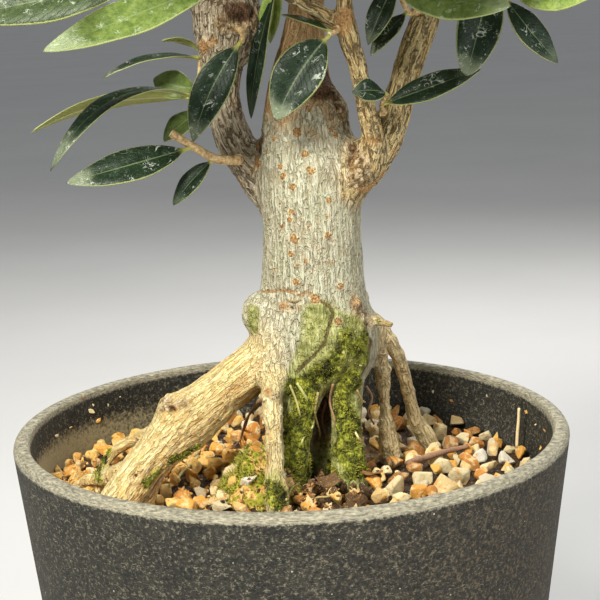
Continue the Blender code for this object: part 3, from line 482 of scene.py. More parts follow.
pot_points, pot_ways = points_of(pot)
height = pot_points[:, 2]
reach = np.hypot(pot_points[:, 0], pot_points[:, 1])
turn = np.arctan2(pot_points[:, 1], pot_points[:, 0])
inside = (reach < side_radius(height) - 0.6 * WALL) & (height > FLOOR + 1.0)
dust_turn = 0.55 + 0.45 * np.cos(turn - math.radians(205))
dust = inside * ease(height, 118.0, 106.0) * dust_turn * 0.75
give_attribute(pot.data, "rim", ease(height, POT_HEIGHT - 3.6, POT_HEIGHT - 1.0))
give_attribute(pot.data, "dust", dust)
give_attribute(pot.data, "warm", ease(pot_points[:, 0], -20.0, 74.0) * ~inside)
pot.data.materials.append(clay_material)
pot.data.shade_smooth()
pot.data.set_sharp_from_angle(angle=math.radians(40))
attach(pot, "root")
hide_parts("pot")

plastic = Finish("black_mesh_plastic", Coat_Weight=0.0)
flat = plastic.place()
plastic_tone = plastic.ramp(plastic.noise(flat, 0.5), (0.3, (0.012, 0.012, 0.012)), (0.7, (0.03, 0.03, 0.028)))
plastic.bump(plastic.noise(flat, 1.6), 0.1)
mesh_materials = nodes["drainage_mesh"].data.materials
mesh_materials.clear()
mesh_materials.append(plastic.paint(plastic_tone, 0.45))
print("clay and mesh finished")

# %% [markdown]
# ## The lines of the tree
#
# Trunk, roots and limbs are all stems, and a stem is a middle line with a thickness. Each row below is one point of
# such a line: x, y, z and radius. They are the same lines that the plain solids follow, so the fine wood lies where
# the plain wood lies. The crown's thinner stems are not listed but grown, further down, by a rule.

# %% Trunk, roots and limbs
TRUNK = [
    (9.5, 1.0, 129.0, 8.0), (9.5, 1.0, 133.0, 14.0), (9.0, 1.0, 139.0, 16.8), (8.3, 0.5, 146.0, 17.4),
    (7.9, 0.0, 153.0, 16.2), (7.7, 0.0, 161.0, 14.9), (7.7, 0.0, 177.0, 14.2), (7.4, 0.5, 188.0, 14.5),
    (7.0, 1.0, 197.0, 14.0), (6.4, 2.0, 206.0, 12.0), (5.6, 3.5, 215.0, 9.6), (6.2, 5.0, 223.0, 7.6),
    (7.2, 5.0, 231.0, 6.0), (8.2, 5.0, 240.0, 5.0), (9.0, 6.0, 252.0, 4.2), (8.0, 7.0, 268.0, 3.3),
    (6.0, 5.0, 286.0, 2.3), (8.0, 3.0, 300.0, 1.4),
]
TORN_TOP = [(11.0, 0.5, 198.0, 8.6), (12.2, 0.0, 206.0, 7.4), (12.0, 0.0, 212.0, 5.8), (11.0, 0.5, 217.0, 3.6)]
EAR_BURL = [(-5.5, -4.0, 159.5, 1.8), (-8.9, -6.5, 155.8, 3.7), (-8.9, -7.0, 151.6, 3.7), (-6.5, -6.5, 146.5, 2.6)]
ROOTS = {
    "big_left": [
        (4.0, -1.0, 148.5, 12.0), (-2.5, -3.0, 143.5, 9.4), (-8.6, -6.0, 139.6, 7.5), (-14.7, -10.0, 135.6, 7.2),
        (-21.5, -13.2, 130.9, 7.4), (-29.4, -17.0, 125.6, 8.3), (-35.8, -20.5, 120.1, 6.8),
        (-42.6, -23.8, 113.0, 5.9), (-47.8, -26.4, 107.0, 5.8), (-51.8, -28.5, 100.0, 4.6), (-54.0, -30.0, 93.0, 3.2),
    ],
    "front_prop": [
        (-1.0, -10.0, 141.0, 5.6), (-5.0, -17.5, 134.5, 3.4), (-4.7, -23.5, 125.0, 2.6), (-4.9, -28.5, 115.0, 2.6),
        (-4.4, -32.5, 107.0, 3.2), (-4.0, -35.0, 96.0, 2.4),
    ],
    "mossy_left": [
        (5.0, -5.0, 142.0, 9.5), (3.0, -9.0, 133.0, 7.2), (0.2, -12.0, 121.0, 5.8), (-1.8, -15.0, 109.0, 6.4),
        (-3.0, -17.0, 95.0, 4.4),
    ],
    "mossy_right": [
        (14.5, -3.0, 142.0, 8.5), (15.8, -7.0, 132.0, 5.6), (15.5, -10.0, 120.0, 4.4), (16.2, -13.5, 108.0, 5.2),
        (16.8, -16.0, 95.0, 3.6),
    ],
    "knotty_prop": [
        (21.0, 1.0, 149.0, 4.0), (25.6, 2.0, 141.5, 2.0), (27.0, 4.0, 134.0, 2.4), (27.6, 5.5, 124.0, 1.7),
        (28.4, 7.0, 114.0, 2.4), (29.2, 9.0, 106.0, 3.4), (29.6, 10.5, 96.0, 2.0),
    ],
    "slanting_prop": [
        (23.0, 3.0, 149.0, 3.8), (28.2, 5.0, 144.0, 2.3), (31.4, 7.5, 138.0, 2.2), (34.2, 12.5, 129.0, 2.1),
        (36.2, 17.5, 120.5, 2.1), (37.8, 20.5, 113.5, 2.4), (41.0, 22.0, 107.6, 2.8), (44.5, 23.0, 100.0, 2.0),
    ],
    "thin_arc": [
        (21.0, -3.0, 147.0, 2.0), (23.4, -6.5, 141.5, 0.8), (19.6, -11.8, 136.5, 0.65), (16.8, -12.2, 131.0, 0.65),
        (15.8, -9.6, 126.0, 0.7),
    ],
    "pale_stub": [(20.5, -4.0, 150.8, 2.2), (25.5, -6.0, 150.2, 1.2), (29.6, -8.0, 149.6, 0.9)],
    "side_rootlet": [
        (-34.0, -16.0, 122.5, 4.0), (-40.5, -12.5, 121.0, 2.4), (-45.5, -10.0, 118.8, 1.9), (-50.0, -9.0, 116.0, 1.7),
        (-53.4, -9.0, 112.2, 1.6), (-55.4, -10.0, 107.5, 1.5), (-56.5, -11.0, 100.0, 1.1),
    ],
    "back_left": [
        (6.0, 8.0, 142.0, 10.0), (4.5, 20.0, 128.0, 7.0), (1.5, 31.0, 114.0, 6.2), (0.0, 37.0, 105.0, 5.6),
        (-1.0, 40.0, 94.0, 3.8),
    ],
    "back_right": [
        (13.0, 8.0, 142.0, 7.6), (15.5, 21.0, 127.0, 5.2), (17.5, 33.0, 111.0, 4.6), (18.4, 38.0, 102.0, 4.0),
        (19.0, 40.0, 94.0, 2.8),
    ],
}
LIMBS = {
    "left_branch": [
        (0.0, 1.0, 185.0, 8.0), (-4.6, 2.5, 190.4, 6.7), (-9.2, 4.5, 195.0, 6.1), (-13.2, 6.0, 201.0, 5.7),
        (-16.0, 7.0, 210.0, 5.3), (-16.6, 7.3, 217.0, 5.4), (-16.2, 7.5, 223.0, 6.4), (-14.4, 7.5, 231.0, 9.4),
        (-14.2, 7.5, 238.0, 9.8), (-14.6, 7.5, 244.0, 6.6),
    ],
    "left_fork": [
        (-18.0, 8.0, 238.0, 6.0), (-24.0, 9.0, 246.0, 4.6), (-34.0, 6.0, 253.0, 3.6), (-45.0, -1.0, 262.0, 2.6),
        (-54.0, -6.0, 270.0, 1.6),
    ],
    "left_back": [
        (-10.0, 9.0, 238.0, 4.6), (-8.0, 15.0, 248.0, 3.9), (-14.0, 28.0, 260.0, 2.9), (-24.0, 40.0, 270.0, 1.6),
    ],
    "left_inner": [
        (-15.0, 7.0, 242.0, 5.0), (-18.0, 4.0, 256.0, 3.6), (-21.0, -3.0, 273.0, 2.6), (-17.0, -9.0, 290.0, 1.5),
    ],
    "right_shoulder": [(12.0, -2.0, 186.0, 9.2), (19.0, -4.5, 192.6, 7.1), (23.2, -5.8, 199.0, 5.2)],
    "right_front": [
        (22.8, -5.8, 196.0, 4.8), (24.8, -8.8, 203.0, 3.2), (23.2, -11.0, 211.0, 2.8), (21.2, -12.0, 222.0, 2.5),
        (18.6, -12.0, 231.5, 3.0), (18.0, -12.5, 240.0, 2.3), (20.0, -19.0, 253.0, 2.2), (20.0, -30.0, 266.0, 1.9),
        (14.0, -38.0, 278.0, 1.4),
    ],
    "right_front_fork": [
        (18.4, -12.0, 232.5, 2.5), (9.4, -12.4, 238.0, 2.1), (1.0, -16.5, 243.0, 1.9), (-5.0, -26.0, 245.6, 1.4),
    ],
    "right_branch": [
        (19.3, -3.0, 191.4, 6.7), (24.4, -2.6, 195.8, 6.1), (28.6, -0.8, 200.8, 5.2), (31.4, 0.8, 207.0, 4.6),
        (33.6, 2.0, 213.8, 4.2), (36.6, 4.0, 223.0, 4.2), (41.0, 5.6, 233.6, 4.2), (44.6, 6.0, 242.0, 4.0),
        (52.0, 4.0, 253.0, 3.4), (60.0, -1.0, 264.0, 2.6), (66.0, -6.0, 274.0, 1.6),
    ],
    "right_back": [(44.6, 6.4, 241.0, 3.6), (47.0, 19.0, 253.0, 3.0), (44.0, 35.0, 267.0, 1.6)],
    "right_inner": [
        (44.0, 6.0, 240.0, 3.7), (39.0, 8.0, 256.0, 3.1), (32.0, 5.0, 274.0, 2.4), (26.0, -1.0, 289.0, 1.5),
    ],
    "right_low": [(45.6, 5.6, 243.0, 3.0), (51.0, -3.0, 246.0, 1.9), (55.6, -12.0, 245.6, 1.4)],
    "back_limb": [
        (9.0, 6.0, 249.0, 4.0), (12.0, 21.0, 258.0, 3.3), (15.0, 35.0, 268.0, 2.5), (12.0, 44.0, 280.0, 1.5),
    ],
}


def smooth(rows, steps):
    """Points on a smooth curve through the rows, with `steps` of them from each row to the next."""
    rows = np.array(rows, float)
    ends = np.vstack([2 * rows[0] - rows[1], rows, 2 * rows[-1] - rows[-2]])
    found = []
    for a, b, c, d in zip(ends[:-3], ends[1:-2], ends[2:-1], ends[3:]):
        for t in (k / steps for k in range(steps)):
            curve = (2 * a - 5 * b + 4 * c - d) * t**2 + (3 * b - a - 3 * c + d) * t**3
            found.append(b + 0.5 * ((c - a) * t + curve))
    return np.array(found + [rows[-1]])


def tube_frames(line):
    """The way along a line at each of its points, and two directions square to it that don't twist."""
    ways = unit_rows(np.gradient(line, axis=0))
    side = unit(np.cross(ways[0], (0.31, 0.22, 1.0)))
    sides = []
    for way in ways:
        side = unit(side - way * (side @ way))
        sides.append(side)
    sides = np.array(sides)
    return ways, sides, np.cross(ways, sides)


def tube(rows, sides):
    """A round stem along rows of (x, y, z, radius): its points and faces, closed at both ends."""
    line = rows[:, :3]
    _, first, second = tube_frames(line)
    turns = 2 * math.pi * np.arange(sides) / sides
    rings = first[:, None, :] * np.cos(turns)[None, :, None] + second[:, None, :] * np.sin(turns)[None, :, None]
    points = (line[:, None, :] + rings * rows[:, 3][:, None, None]).reshape(-1, 3)
    points = np.vstack([points, line[0], line[-1]])
    faces = []
    last = (len(rows) - 1) * sides
    for i in range(sides):
        j = (i + 1) % sides
        faces.append((len(points) - 2, j, i))
        faces.append((len(points) - 1, last + i, last + j))
        for low in range(0, last, sides):
            faces.append((low + i, low + j, low + sides + j, low + sides + i))
    return points, faces


print(len(ROOTS), "roots and", len(LIMBS), "limbs")

# %% [markdown]
# ## Growing the crown
#
# The photograph cuts the crown off just above the forks. The leaves that it shows are placed one by one: base, tip,
# width, the way the upper face looks, and arch, which is how far the blade's middle stands off the straight line.
# The rest is grown by a rule, with a seeded draw, so that it is the same crown as the plain solids have: stems reach
# for points spread over a dome, a twig goes on from each, and pairs of leaves sit along it, a quarter turn apart.

# %% Leaves that the photograph shows
LOW_SHOOTS = {
    "front_left": {
        "twig": [(-5.3, -26.5, 245.7), (-12.0, -37.5, 246.4), (-31.0, -43.6, 247.2), (-47.0, -50.0, 251.0)],
        "radii": (1.0, 0.6),
        "leaves": [
            ((-12.0, -38.0, 246.0), (-56.7, -56.0, 230.5), 13.0, (-0.2, -0.75, 0.65), 0.3),
            ((-31.0, -44.0, 246.9), (-80.6, -39.0, 238.6), 13.5, (0.0, -0.85, 0.5), 0.5),
        ],
        "free": [(0.42, 60), (0.62, 75), (0.97, 20), (0.97, 200)],
    },
    "behind_left": {
        "twig": [
            (-20.9, 13.5, 227.6), (-22.3, 14.6, 225.5), (-23.0, 14.4, 219.0), (-23.6, 13.6, 213.6),
            (-22.4, 11.6, 209.8),
        ],
        "radii": (0.9, 0.7),
        "leaves": [
            ((-22.2, 14.4, 226.6), (-33.2, 10.0, 230.0), 4.0, (0.2, 0.5, 0.85), 1.5),
            ((-22.4, 14.4, 224.6), (-50.0, 6.0, 220.1), 7.5, (0.0, -0.15, 0.98), 3.0),
            ((-23.6, 14.6, 215.9), (-36.6, 18.5, 219.0), 8.5, (-0.3, -0.9, 0.3), 1.5),
            ((-23.6, 13.2, 213.2), (-62.9, -16.0, 197.0), 8.0, (-0.1, -0.25, 0.96), 11.0),
            ((-24.0, 14.6, 212.6), (-71.2, 6.0, 205.6), 8.5, (0.25, 0.6, 0.75), 5.0),
            ((-22.6, 11.4, 210.0), (-33.5, 6.0, 201.9), 9.0, (-0.4, -0.7, 0.6), 1.0),
        ],
        "free": [],
    },
    "cut_twig": {
        "twig": [(-13.2, -3.0, 197.0), (-18.6, -5.8, 198.0), (-24.7, -6.6, 201.7), (-30.4, -7.8, 205.6)],
        "radii": (1.4, 1.1),
        "leaves": [
            ((-24.8, -7.0, 201.2), (-59.0, -15.0, 193.6), 11.5, (-0.15, -0.75, 0.65), 1.5),
            ((-19.4, -6.0, 197.2), (-30.8, -7.0, 185.5), 6.8, (-0.5, -0.75, 0.45), 1.0),
        ],
        "free": [],
    },
    "under_knot": {
        "twig": [(-10.4, -3.2, 232.8), (-9.8, -5.4, 231.6), (-10.0, -6.4, 229.4)],
        "radii": (0.9, 0.7),
        "leaves": [((-10.0, -6.2, 230.0), (-24.2, -12.0, 203.4), 10.5, (-0.1, -0.95, 0.3), 2.0)],
        "free": [],
    },
    "leader_side": {
        "twig": [(3.2, 3.6, 246.2), (0.6, 1.8, 245.8), (-3.6, -1.4, 249.0), (-9.0, -6.0, 257.0)],
        "radii": (0.9, 0.6),
        "leaves": [
            ((0.8, 1.2, 245.6), (-8.4, -0.6, 208.1), 6.5, (-0.8, -0.55, -0.2), 2.0),
            ((-1.0, 1.2, 246.6), (-5.3, 3.4, 225.8), 4.0, (-0.3, -0.95, 0.0), 0.8),
            ((1.0, 2.2, 245.9), (-2.4, 6.0, 228.4), 4.6, (-0.5, -0.85, 0.0), 0.5),
        ],
        "free": [(0.75, 80), (0.95, 30), (0.95, 210)],
    },
    "front_node": {
        "twig": [(15.6, -14.6, 232.6), (14.4, -16.2, 231.6), (13.4, -17.6, 231.4)],
        "radii": (0.9, 0.7),
        "leaves": [
            ((13.7, -17.2, 231.2), (-1.4, -22.0, 209.2), 13.6, (-0.1, -0.9, 0.4), 1.5),
            ((14.0, -16.4, 232.0), (0.9, -10.0, 236.6), 5.0, (0.3, -0.3, 0.9), 0.6),
        ],
        "free": [],
    },
    "between_forks": {
        "twig": [(38.4, 2.0, 236.2), (35.9, -1.4, 236.0), (32.4, -6.6, 243.5), (30.6, -12.0, 253.0)],
        "radii": (0.9, 0.6),
        "leaves": [
            ((35.7, -1.8, 236.2), (25.0, -7.0, 224.8), 6.5, (-0.6, -0.75, 0.3), 1.0),
            ((32.2, -7.0, 244.0), (24.0, -12.0, 227.9), 7.2, (-0.4, -0.9, 0.1), 1.5),
        ],
        "free": [(0.85, 60), (0.95, 150)],
    },
    "in_the_fork": {
        "twig": [(26.7, -10.6, 209.4), (27.4, -10.8, 211.6), (28.8, -12.8, 214.8)],
        "radii": (0.8, 0.6),
        "leaves": [
            ((27.4, -11.0, 211.8), (53.8, -16.0, 220.8), 9.2, (-0.1, -0.7, 0.7), 1.0),
            ((28.6, -12.8, 214.8), (19.1, -18.0, 215.9), 7.0, (0.1, -0.75, 0.65), 1.2),
        ],
        "free": [],
    },
    "right_low": {
        "twig": [
            (55.8, -12.4, 245.5), (57.5, -18.5, 241.8), (59.6, -23.0, 239.4), (66.0, -30.0, 244.0),
            (73.0, -36.0, 252.0),
        ],
        "radii": (1.0, 0.6),
        "leaves": [
            ((56.6, -15.0, 243.8), (49.3, -20.0, 219.3), 12.0, (0.1, -0.9, 0.35), 1.0),
            ((59.2, -22.0, 239.6), (73.0, -24.0, 222.2), 8.5, (0.25, -0.85, 0.4), 1.2),
            ((60.0, -23.6, 239.6), (86.2, -42.0, 245.0), 14.5, (0.1, -0.9, 0.4), 0.5),
        ],
        "free": [(0.82, 80), (0.97, 20), (0.97, 200)],
    },
    "front_right": {
        "twig": [
            (21.0, -19.5, 246.0), (25.0, -21.5, 243.6), (29.0, -25.0, 243.0), (33.0, -35.0, 248.0),
            (35.0, -46.0, 255.5),
        ],
        "radii": (0.9, 0.6),
        "leaves": [((28.8, -25.0, 242.6), (59.2, -34.0, 237.4), 14.0, (0.1, -0.85, 0.5), 0.3)],
        "free": [(0.75, 170), (0.75, 350), (0.97, 80), (0.97, 260)],
    },
}
print(sum(len(row["leaves"]) for row in LOW_SHOOTS.values()), "leaves placed one by one")

# %% Stems that reach for a dome
SEAT_GAP = 0.3
DOME_CENTRE = np.array((5.0, 0.0, 252.0))
DOME_RADII = np.array((50.0, 46.0, 45.0))
DOME_LOWEST = 0.12
SHOOT_NODES = sorted(name for name in nodes if name.startswith("leafy_shoot"))
FREE_SHOOTS = len(SHOOT_NODES) - len(LOW_SHOOTS)
STEM_BASE_RADIUS = 1.9
STEM_TIP_RADIUS = 1.15
STUB = 1.5
TIP_SHIFT = 3.0
TIP_ROOM = 4.0
SHORTEST_STEM = 6.0
TRIES = 30
UNDERSIDE_LEVEL = 242.6
UNDERSIDE_TILT = -0.03
CROWN_SEED = 7


def hermite(start, start_way, end, end_way, steps):
    """Points on a curve that leaves `start` along one way and comes to `end` along another."""
    rows = []
    for k in range(steps + 1):
        t = k / steps
        rows.append(
            (2 * t**3 - 3 * t**2 + 1) * start
            + (t**3 - 2 * t**2 + t) * start_way
            + (3 * t**2 - 2 * t**3) * end
            + (t**3 - t**2) * end_way
        )
    return np.array(rows)


def dome_tips():
    """Ends of the crown's stems, spread evenly over the dome in a sunflower's spiral."""
    golden = math.pi * (3 - math.sqrt(5))
    tips = []
    for i in range(FREE_SHOOTS):
        up = DOME_LOWEST + (0.985 - DOME_LOWEST) * (i + 0.5) / FREE_SHOOTS
        flat = math.sqrt(1 - up * up)
        way = np.array((flat * math.cos(golden * i), flat * math.sin(golden * i), up))
        tips.append((DOME_CENTRE + DOME_RADII * way, way))
    return tips


def nearest_wood(point):
    """The nearest part of the trunk or a limb: (gap, middle, radius, way out, whether it is an end)."""
    best = None
    for rows in [TRUNK, *LIMBS.values()]:
        rows = np.array(rows)
        for i, (a, b) in enumerate(zip(rows[:-1], rows[1:])):
            span = b[:3] - a[:3]
            t = min(1.0, max(0.0, float((point - a[:3]) @ span / (span @ span))))
            middle = a[:3] + span * t
            radius = a[3] + (b[3] - a[3]) * t
            off = np.linalg.norm(point - middle) - radius
            if best is None or off < best[0]:
                at_end = i == len(rows) - 2 and t == 1.0
                best = (off, middle, radius, unit(span if at_end else point - middle), at_end)
    return best


def on_wood(point):
    """The nearest place on the bark of a limb, just clear of it, and the way straight out from there."""
    _, middle, radius, way, at_end = nearest_wood(point)
    return middle + way * (SEAT_GAP if at_end else radius + SEAT_GAP), way


def joints_of(limbs):
    """Where a crown stem may leave a limb: (point, the limb's way there, its radius)."""
    found = []
    for rows in limbs:
        line = smooth(rows, 5)
        for before, here, after in zip(line[:-2], line[1:-1], line[2:]):
            if here[2] > UNDERSIDE_LEVEL + 3.0:
                found.append((here[:3], unit(after[:3] - before[:3]), here[3]))
    return found


def free_tip(tip, rng):
    """The tip shifted at random, and then a little further each time, until it is clear of the limbs."""
    for attempt in range(TRIES):
        shift = TIP_SHIFT * (1.0 + 0.1 * attempt)
        moved = tip + np.array([rng.uniform(-shift, shift) for _ in range(3)])
        if nearest_wood(moved)[0] > TIP_ROOM:
            break
    return moved


def grow_stems(rng):
    """A stem to each tip of the dome, from the best placed point of a limb: its rows and the way it ends."""
    joints = joints_of([TRUNK, *LIMBS.values()])
    stems = []
    for tip, way in dome_tips():
        tip = free_tip(tip, rng)
        best = None
        for place, along, radius in joints:
            reach = tip - place
            length = np.linalg.norm(reach)
            if length < SHORTEST_STEM:
                continue
            turn = 1.0 - float(along @ reach) / length
            cost = length * (1.0 + 0.6 * turn)
            if best is None or cost < best[0]:
                best = (cost, place, along, radius, length)
        _, place, along, radius, length = best
        out = unit(way + np.array((0.0, 0.0, 0.25)))
        line = hermite(place, along * 0.5 * length, tip - out * STUB, out * 0.8 * length, 2)
        line = np.vstack([line, tip])
        base = min(STEM_BASE_RADIUS, radius * 0.8)
        radii = np.linspace(max(base, STEM_TIP_RADIUS), STEM_TIP_RADIUS, len(line))
        stems.append((np.column_stack([line, radii]), out))
        for before, here, after in zip(line[:-2], line[1:-1], line[2:]):
            joints.append((here, unit(after - before), STEM_BASE_RADIUS))
    return stems


crown_rng = random.Random(CROWN_SEED)
crown_stems = grow_stems(crown_rng)
print(len(crown_stems), "crown stems, the highest ends at", round(max(rows[-1][2] for rows, _ in crown_stems)), "mm")

# %% Twigs and leaves
TWIG_RADII = (1.0, 0.6)
TWIG_LENGTH = (31.0, 39.0)
LEAF_PLACES = (0.30, 0.64, 0.96)
END_LEAF_SCALE = 0.82
LEAF_LENGTH = (30.0, 41.0)
LEAF_SLENDER = (0.27, 0.33)
LEAF_CLEARANCE = 3.1
STEM_CLEARANCE = 1.2


def blade_line(leaf, t):
    """A point of the leaf's middle line, with its way along the blade, across it and off its upper face."""
    base, tip, _, face, arch = leaf
    chord = tip - base
    along = unit(chord)
    face = unit(face - along * (face @ along))
    point = base + chord * t + face * arch * 4 * t * (1 - t)
    way = unit(chord + face * arch * 4 * (1 - 2 * t))
    across = unit(np.cross(way, face))
    return point, way, across, np.cross(across, way)


def blade_width(t):
    """The share of the full width at t, from the narrow stalk through the belly to the pointed end."""
    return max(0.11, math.sin(math.pi * min(t, 1.0) ** 0.9) ** 0.72) if t < 0.999 else 0.0


def blade_samples(leaf):
    """Points spread over the blade, close enough together to tell how near two leaves come."""
    found = []
    for t in np.linspace(0.14, 1.0, 18):
        point, _, across, _ = blade_line(leaf, t)
        half = 0.5 * leaf[2] * blade_width(t)
        for side in (-1.0, -0.6, -0.2, 0.2, 0.6, 1.0):
            found.append(point + across * half * side)
    return np.array(found)


def nearest(points, others):
    """The least distance between two groups of points."""
    return math.sqrt(((points[:, None, :] - others[None, :, :]) ** 2).sum(axis=2).min())


def clear_of_stems(points, starts, ends, radii):
    """Whether all the points stay clear of the round stems given by their segments."""
    span = ends - starts
    reach = points[:, None, :] - starts[None, :, :]
    t = np.clip((reach * span).sum(axis=2) / (span * span).sum(axis=1), 0.0, 1.0)
    gap = np.linalg.norm(reach - span * t[:, :, None], axis=2) - radii
    return gap.min() > STEM_CLEARANCE


def twig_frame(way):
    side = unit(np.cross(way, (0.31, 0.22, 1.0)))
    return side, np.cross(side, way)


def free_leaf(point, way, turn, scale, rng):
    """One leaf of a pair: it leaves the twig at a slant, looks towards the twig's end and sags a little."""
    side, other = twig_frame(way)
    angle = math.radians(turn + rng.uniform(-22.0, 22.0))
    out = side * math.cos(angle) + other * math.sin(angle)
    slant = math.radians(rng.uniform(32.0, 62.0))
    along = unit(way * math.cos(slant) + out * math.sin(slant))
    length = rng.uniform(*LEAF_LENGTH) * scale
    width = length * rng.uniform(*LEAF_SLENDER)
    face = way - along * (way @ along)
    base = point + out * 0.35 - along * 0.3
    tip = base + along * length - np.array((0.0, 0.0, rng.uniform(0.0, 5.0)))
    return (base, tip, width, face, rng.uniform(1.0, 4.0))


def underside(x):
    return UNDERSIDE_LEVEL + UNDERSIDE_TILT * x


def stem_segments(stems):
    lines = [smooth(rows, 3) for rows in [TRUNK, TORN_TOP, *LIMBS.values()]] + [rows for rows, _ in stems]
    starts = np.vstack([line[:-1, :3] for line in lines])
    ends = np.vstack([line[1:, :3] for line in lines])
    radii = np.concatenate([np.maximum(line[:-1, 3], line[1:, 3]) for line in lines])
    return starts, ends, radii


class Crown:
    """The leafy shoots placed so far, and the test that keeps each new leaf clear of the others."""

    def __init__(self, stems, rng):
        self.starts, self.ends, self.radii = stem_segments(stems)
        self.rng = rng
        self.clearance = LEAF_CLEARANCE
        self.placed = []
        self.shoots = []

    def add_twig(self, line, radii):
        thick = np.linspace(*radii, len(line))
        self.starts = np.vstack([self.starts, line[:-1]])
        self.ends = np.vstack([self.ends, line[1:]])
        self.radii = np.concatenate([self.radii, thick[:-1]])

    def clear_of_leaves(self, points):
        middle = points.mean(axis=0)
        reach = np.linalg.norm(points - middle, axis=1).max()
        for other_middle, other_reach, others in self.placed:
            if np.linalg.norm(middle - other_middle) < reach + other_reach + self.clearance:
                if nearest(points, others) < self.clearance:
                    return False
        return True

    def fits(self, leaf):
        points = blade_samples(leaf)
        if (points[:, 2] < underside(points[:, 0])).any() or not self.clear_of_leaves(points):
            return False
        off_twig = points[6:]
        return clear_of_stems(off_twig, self.starts, self.ends, self.radii)

    def twig_fits(self, line):
        points = smooth(line, 6)
        return self.clear_of_leaves(points) and clear_of_stems(points[6:], self.starts, self.ends, self.radii)

    def keep(self, leaf):
        points = blade_samples(leaf)
        middle = points.mean(axis=0)
        self.placed.append((middle, np.linalg.norm(points - middle, axis=1).max(), points))

    def try_leaf(self, point, way, turn, scale):
        for _ in range(TRIES):
            leaf = free_leaf(point, way, turn, scale, self.rng)
            if self.fits(leaf):
                self.keep(leaf)
                return [leaf]
        return []


def along_line(line, share):
    """The point at a share of the line's length, counted in its spans, and the line's way there."""
    at = share * (len(line) - 1)
    i = min(int(at), len(line) - 2)
    return line[i] + (line[i + 1] - line[i]) * (at - i), unit(line[i + 1] - line[i])


def seated(base, line):
    """The place on the twig that is nearest to where a leaf's stalk was given."""
    spans = line[1:] - line[:-1]
    t = np.clip(((base - line[:-1]) * spans).sum(axis=1) / (spans * spans).sum(axis=1), 0.0, 1.0)
    places = line[:-1] + spans * t[:, None]
    away = base - places
    i = np.linalg.norm(away, axis=1).argmin()
    reach = np.linalg.norm(away[i])
    return places[i] + away[i] * min(1.0, 0.35 / max(reach, 0.001))


def low_shoots(crown):
    """The shoots given one by one: their own leaves first, so that no free leaf takes their place."""
    waiting = []
    for row in LOW_SHOOTS.values():
        start, way = on_wood(np.array(row["twig"][0]))
        line = np.array([start, start + way * STUB, *row["twig"][1:]])
        leaves = []
        for base, tip, width, face, arch in row["leaves"]:
            leaf = (seated(np.array(base), line), np.array(tip), width, np.array(face), arch)
            leaves.append(leaf)
            crown.keep(leaf)
        crown.add_twig(line, row["radii"])
        waiting.append((line, row, leaves))
    for line, row, leaves in waiting:
        for share, turn in row["free"]:
            point, way = along_line(line, share)
            leaves += crown.try_leaf(point, way, turn, 0.9)
        crown.shoots.append((line, row["radii"], leaves))


def free_twig(start, out, rng):
    """A twig that leaves its stem straight and then turns a little up and aside."""
    length = rng.uniform(*TWIG_LENGTH)
    bend = np.array((rng.uniform(-0.4, 0.4), rng.uniform(-0.4, 0.4), rng.uniform(0.1, 0.5)))
    knee = start + out * length / 3
    rest = length * 2 / 3
    line = hermite(knee, out * rest, knee + unit(out + 0.5 * bend) * rest, unit(out + bend) * rest, 2)
    return np.vstack([start, line])


def free_shoots(crown, stems):
    """A curved twig on each stem's end, with pairs of leaves, each pair a quarter turn from the last."""
    twigs = []
    for rows, out in stems:
        start = rows[-1, :3] + out * SEAT_GAP
        for _ in range(TRIES):
            line = free_twig(start, out, crown.rng)
            if crown.twig_fits(line):
                break
        twigs.append(line)
        crown.add_twig(line[1:], TWIG_RADII)
    for line in twigs:
        leaves = []
        first_turn = crown.rng.uniform(0.0, 180.0)
        for pair, share in enumerate(LEAF_PLACES):
            point, way = along_line(line, share)
            scale = END_LEAF_SCALE if share == LEAF_PLACES[-1] else 1.0
            for half in (0.0, 180.0):
                leaves += crown.try_leaf(point, way, first_turn + 90.0 * pair + half, scale)
        crown.shoots.append((line, TWIG_RADII, leaves))


crown = Crown(crown_stems, crown_rng)
low_shoots(crown)
free_shoots(crown, crown_stems)
print(len(crown.shoots), "shoots with", sum(len(leaves) for _, _, leaves in crown.shoots), "leaves")

# %% All the stems that are one piece of wood
CROWN_STEMS = {f"crown_stem_{i:02d}": rows for i, (rows, _) in enumerate(crown_stems)}
STEMS = {"trunk": TRUNK, "torn_top": TORN_TOP, "ear_burl": EAR_BURL, **ROOTS, **LIMBS, **CROWN_STEMS}
print(len(STEMS), "stems with", sum(len(rows) for rows in STEMS.values()), "rows")

# %% [markdown]
# ## The skin of the wood
#
# Where stems meet, real wood flows together in collars and webs. Tubes alone would leave hard creases, so they are
# merged: a voxel remesh wraps one even skin round all of them, and relaxing the skin rounds the joints. Bark, folds
# and scars are then pushed out of the skin or into it by formulas, which needs the points close together.

# %% Wood that fills the angles between the roots
FILLERS = {
    "flare": [
        (5.0, -1.0, 152.0, 13.5), (-1.5, -6.0, 145.0, 10.6), (-5.5, -10.5, 140.3, 7.0), (-9.5, -11.0, 137.5, 5.2),
    ],
    "dark_heart": [(8.5, 2.0, 140.0, 11.0), (9.3, 2.5, 122.0, 7.6), (9.8, 3.0, 106.0, 8.5), (9.8, 3.0, 96.0, 6.0)],
    "left_toe": [
        (-41.0, -21.5, 115.0, 4.8), (-46.5, -16.5, 111.6, 3.7), (-52.5, -12.5, 109.0, 2.7), (-59.0, -10.0, 107.4, 1.8),
        (-64.0, -9.0, 104.5, 1.0),
    ],
    "right_toe": [(-40.0, -22.5, 112.0, 4.6), (-41.5, -23.5, 107.0, 4.0), (-41.0, -22.5, 101.0, 2.0)],
    "torn_side": [
        (13.0, -1.0, 196.0, 6.0), (14.2, -1.5, 204.0, 4.6), (13.4, -1.5, 210.0, 3.2), (11.0, -1.5, 214.5, 1.6),
    ],
}
print("fillers:", list(FILLERS))

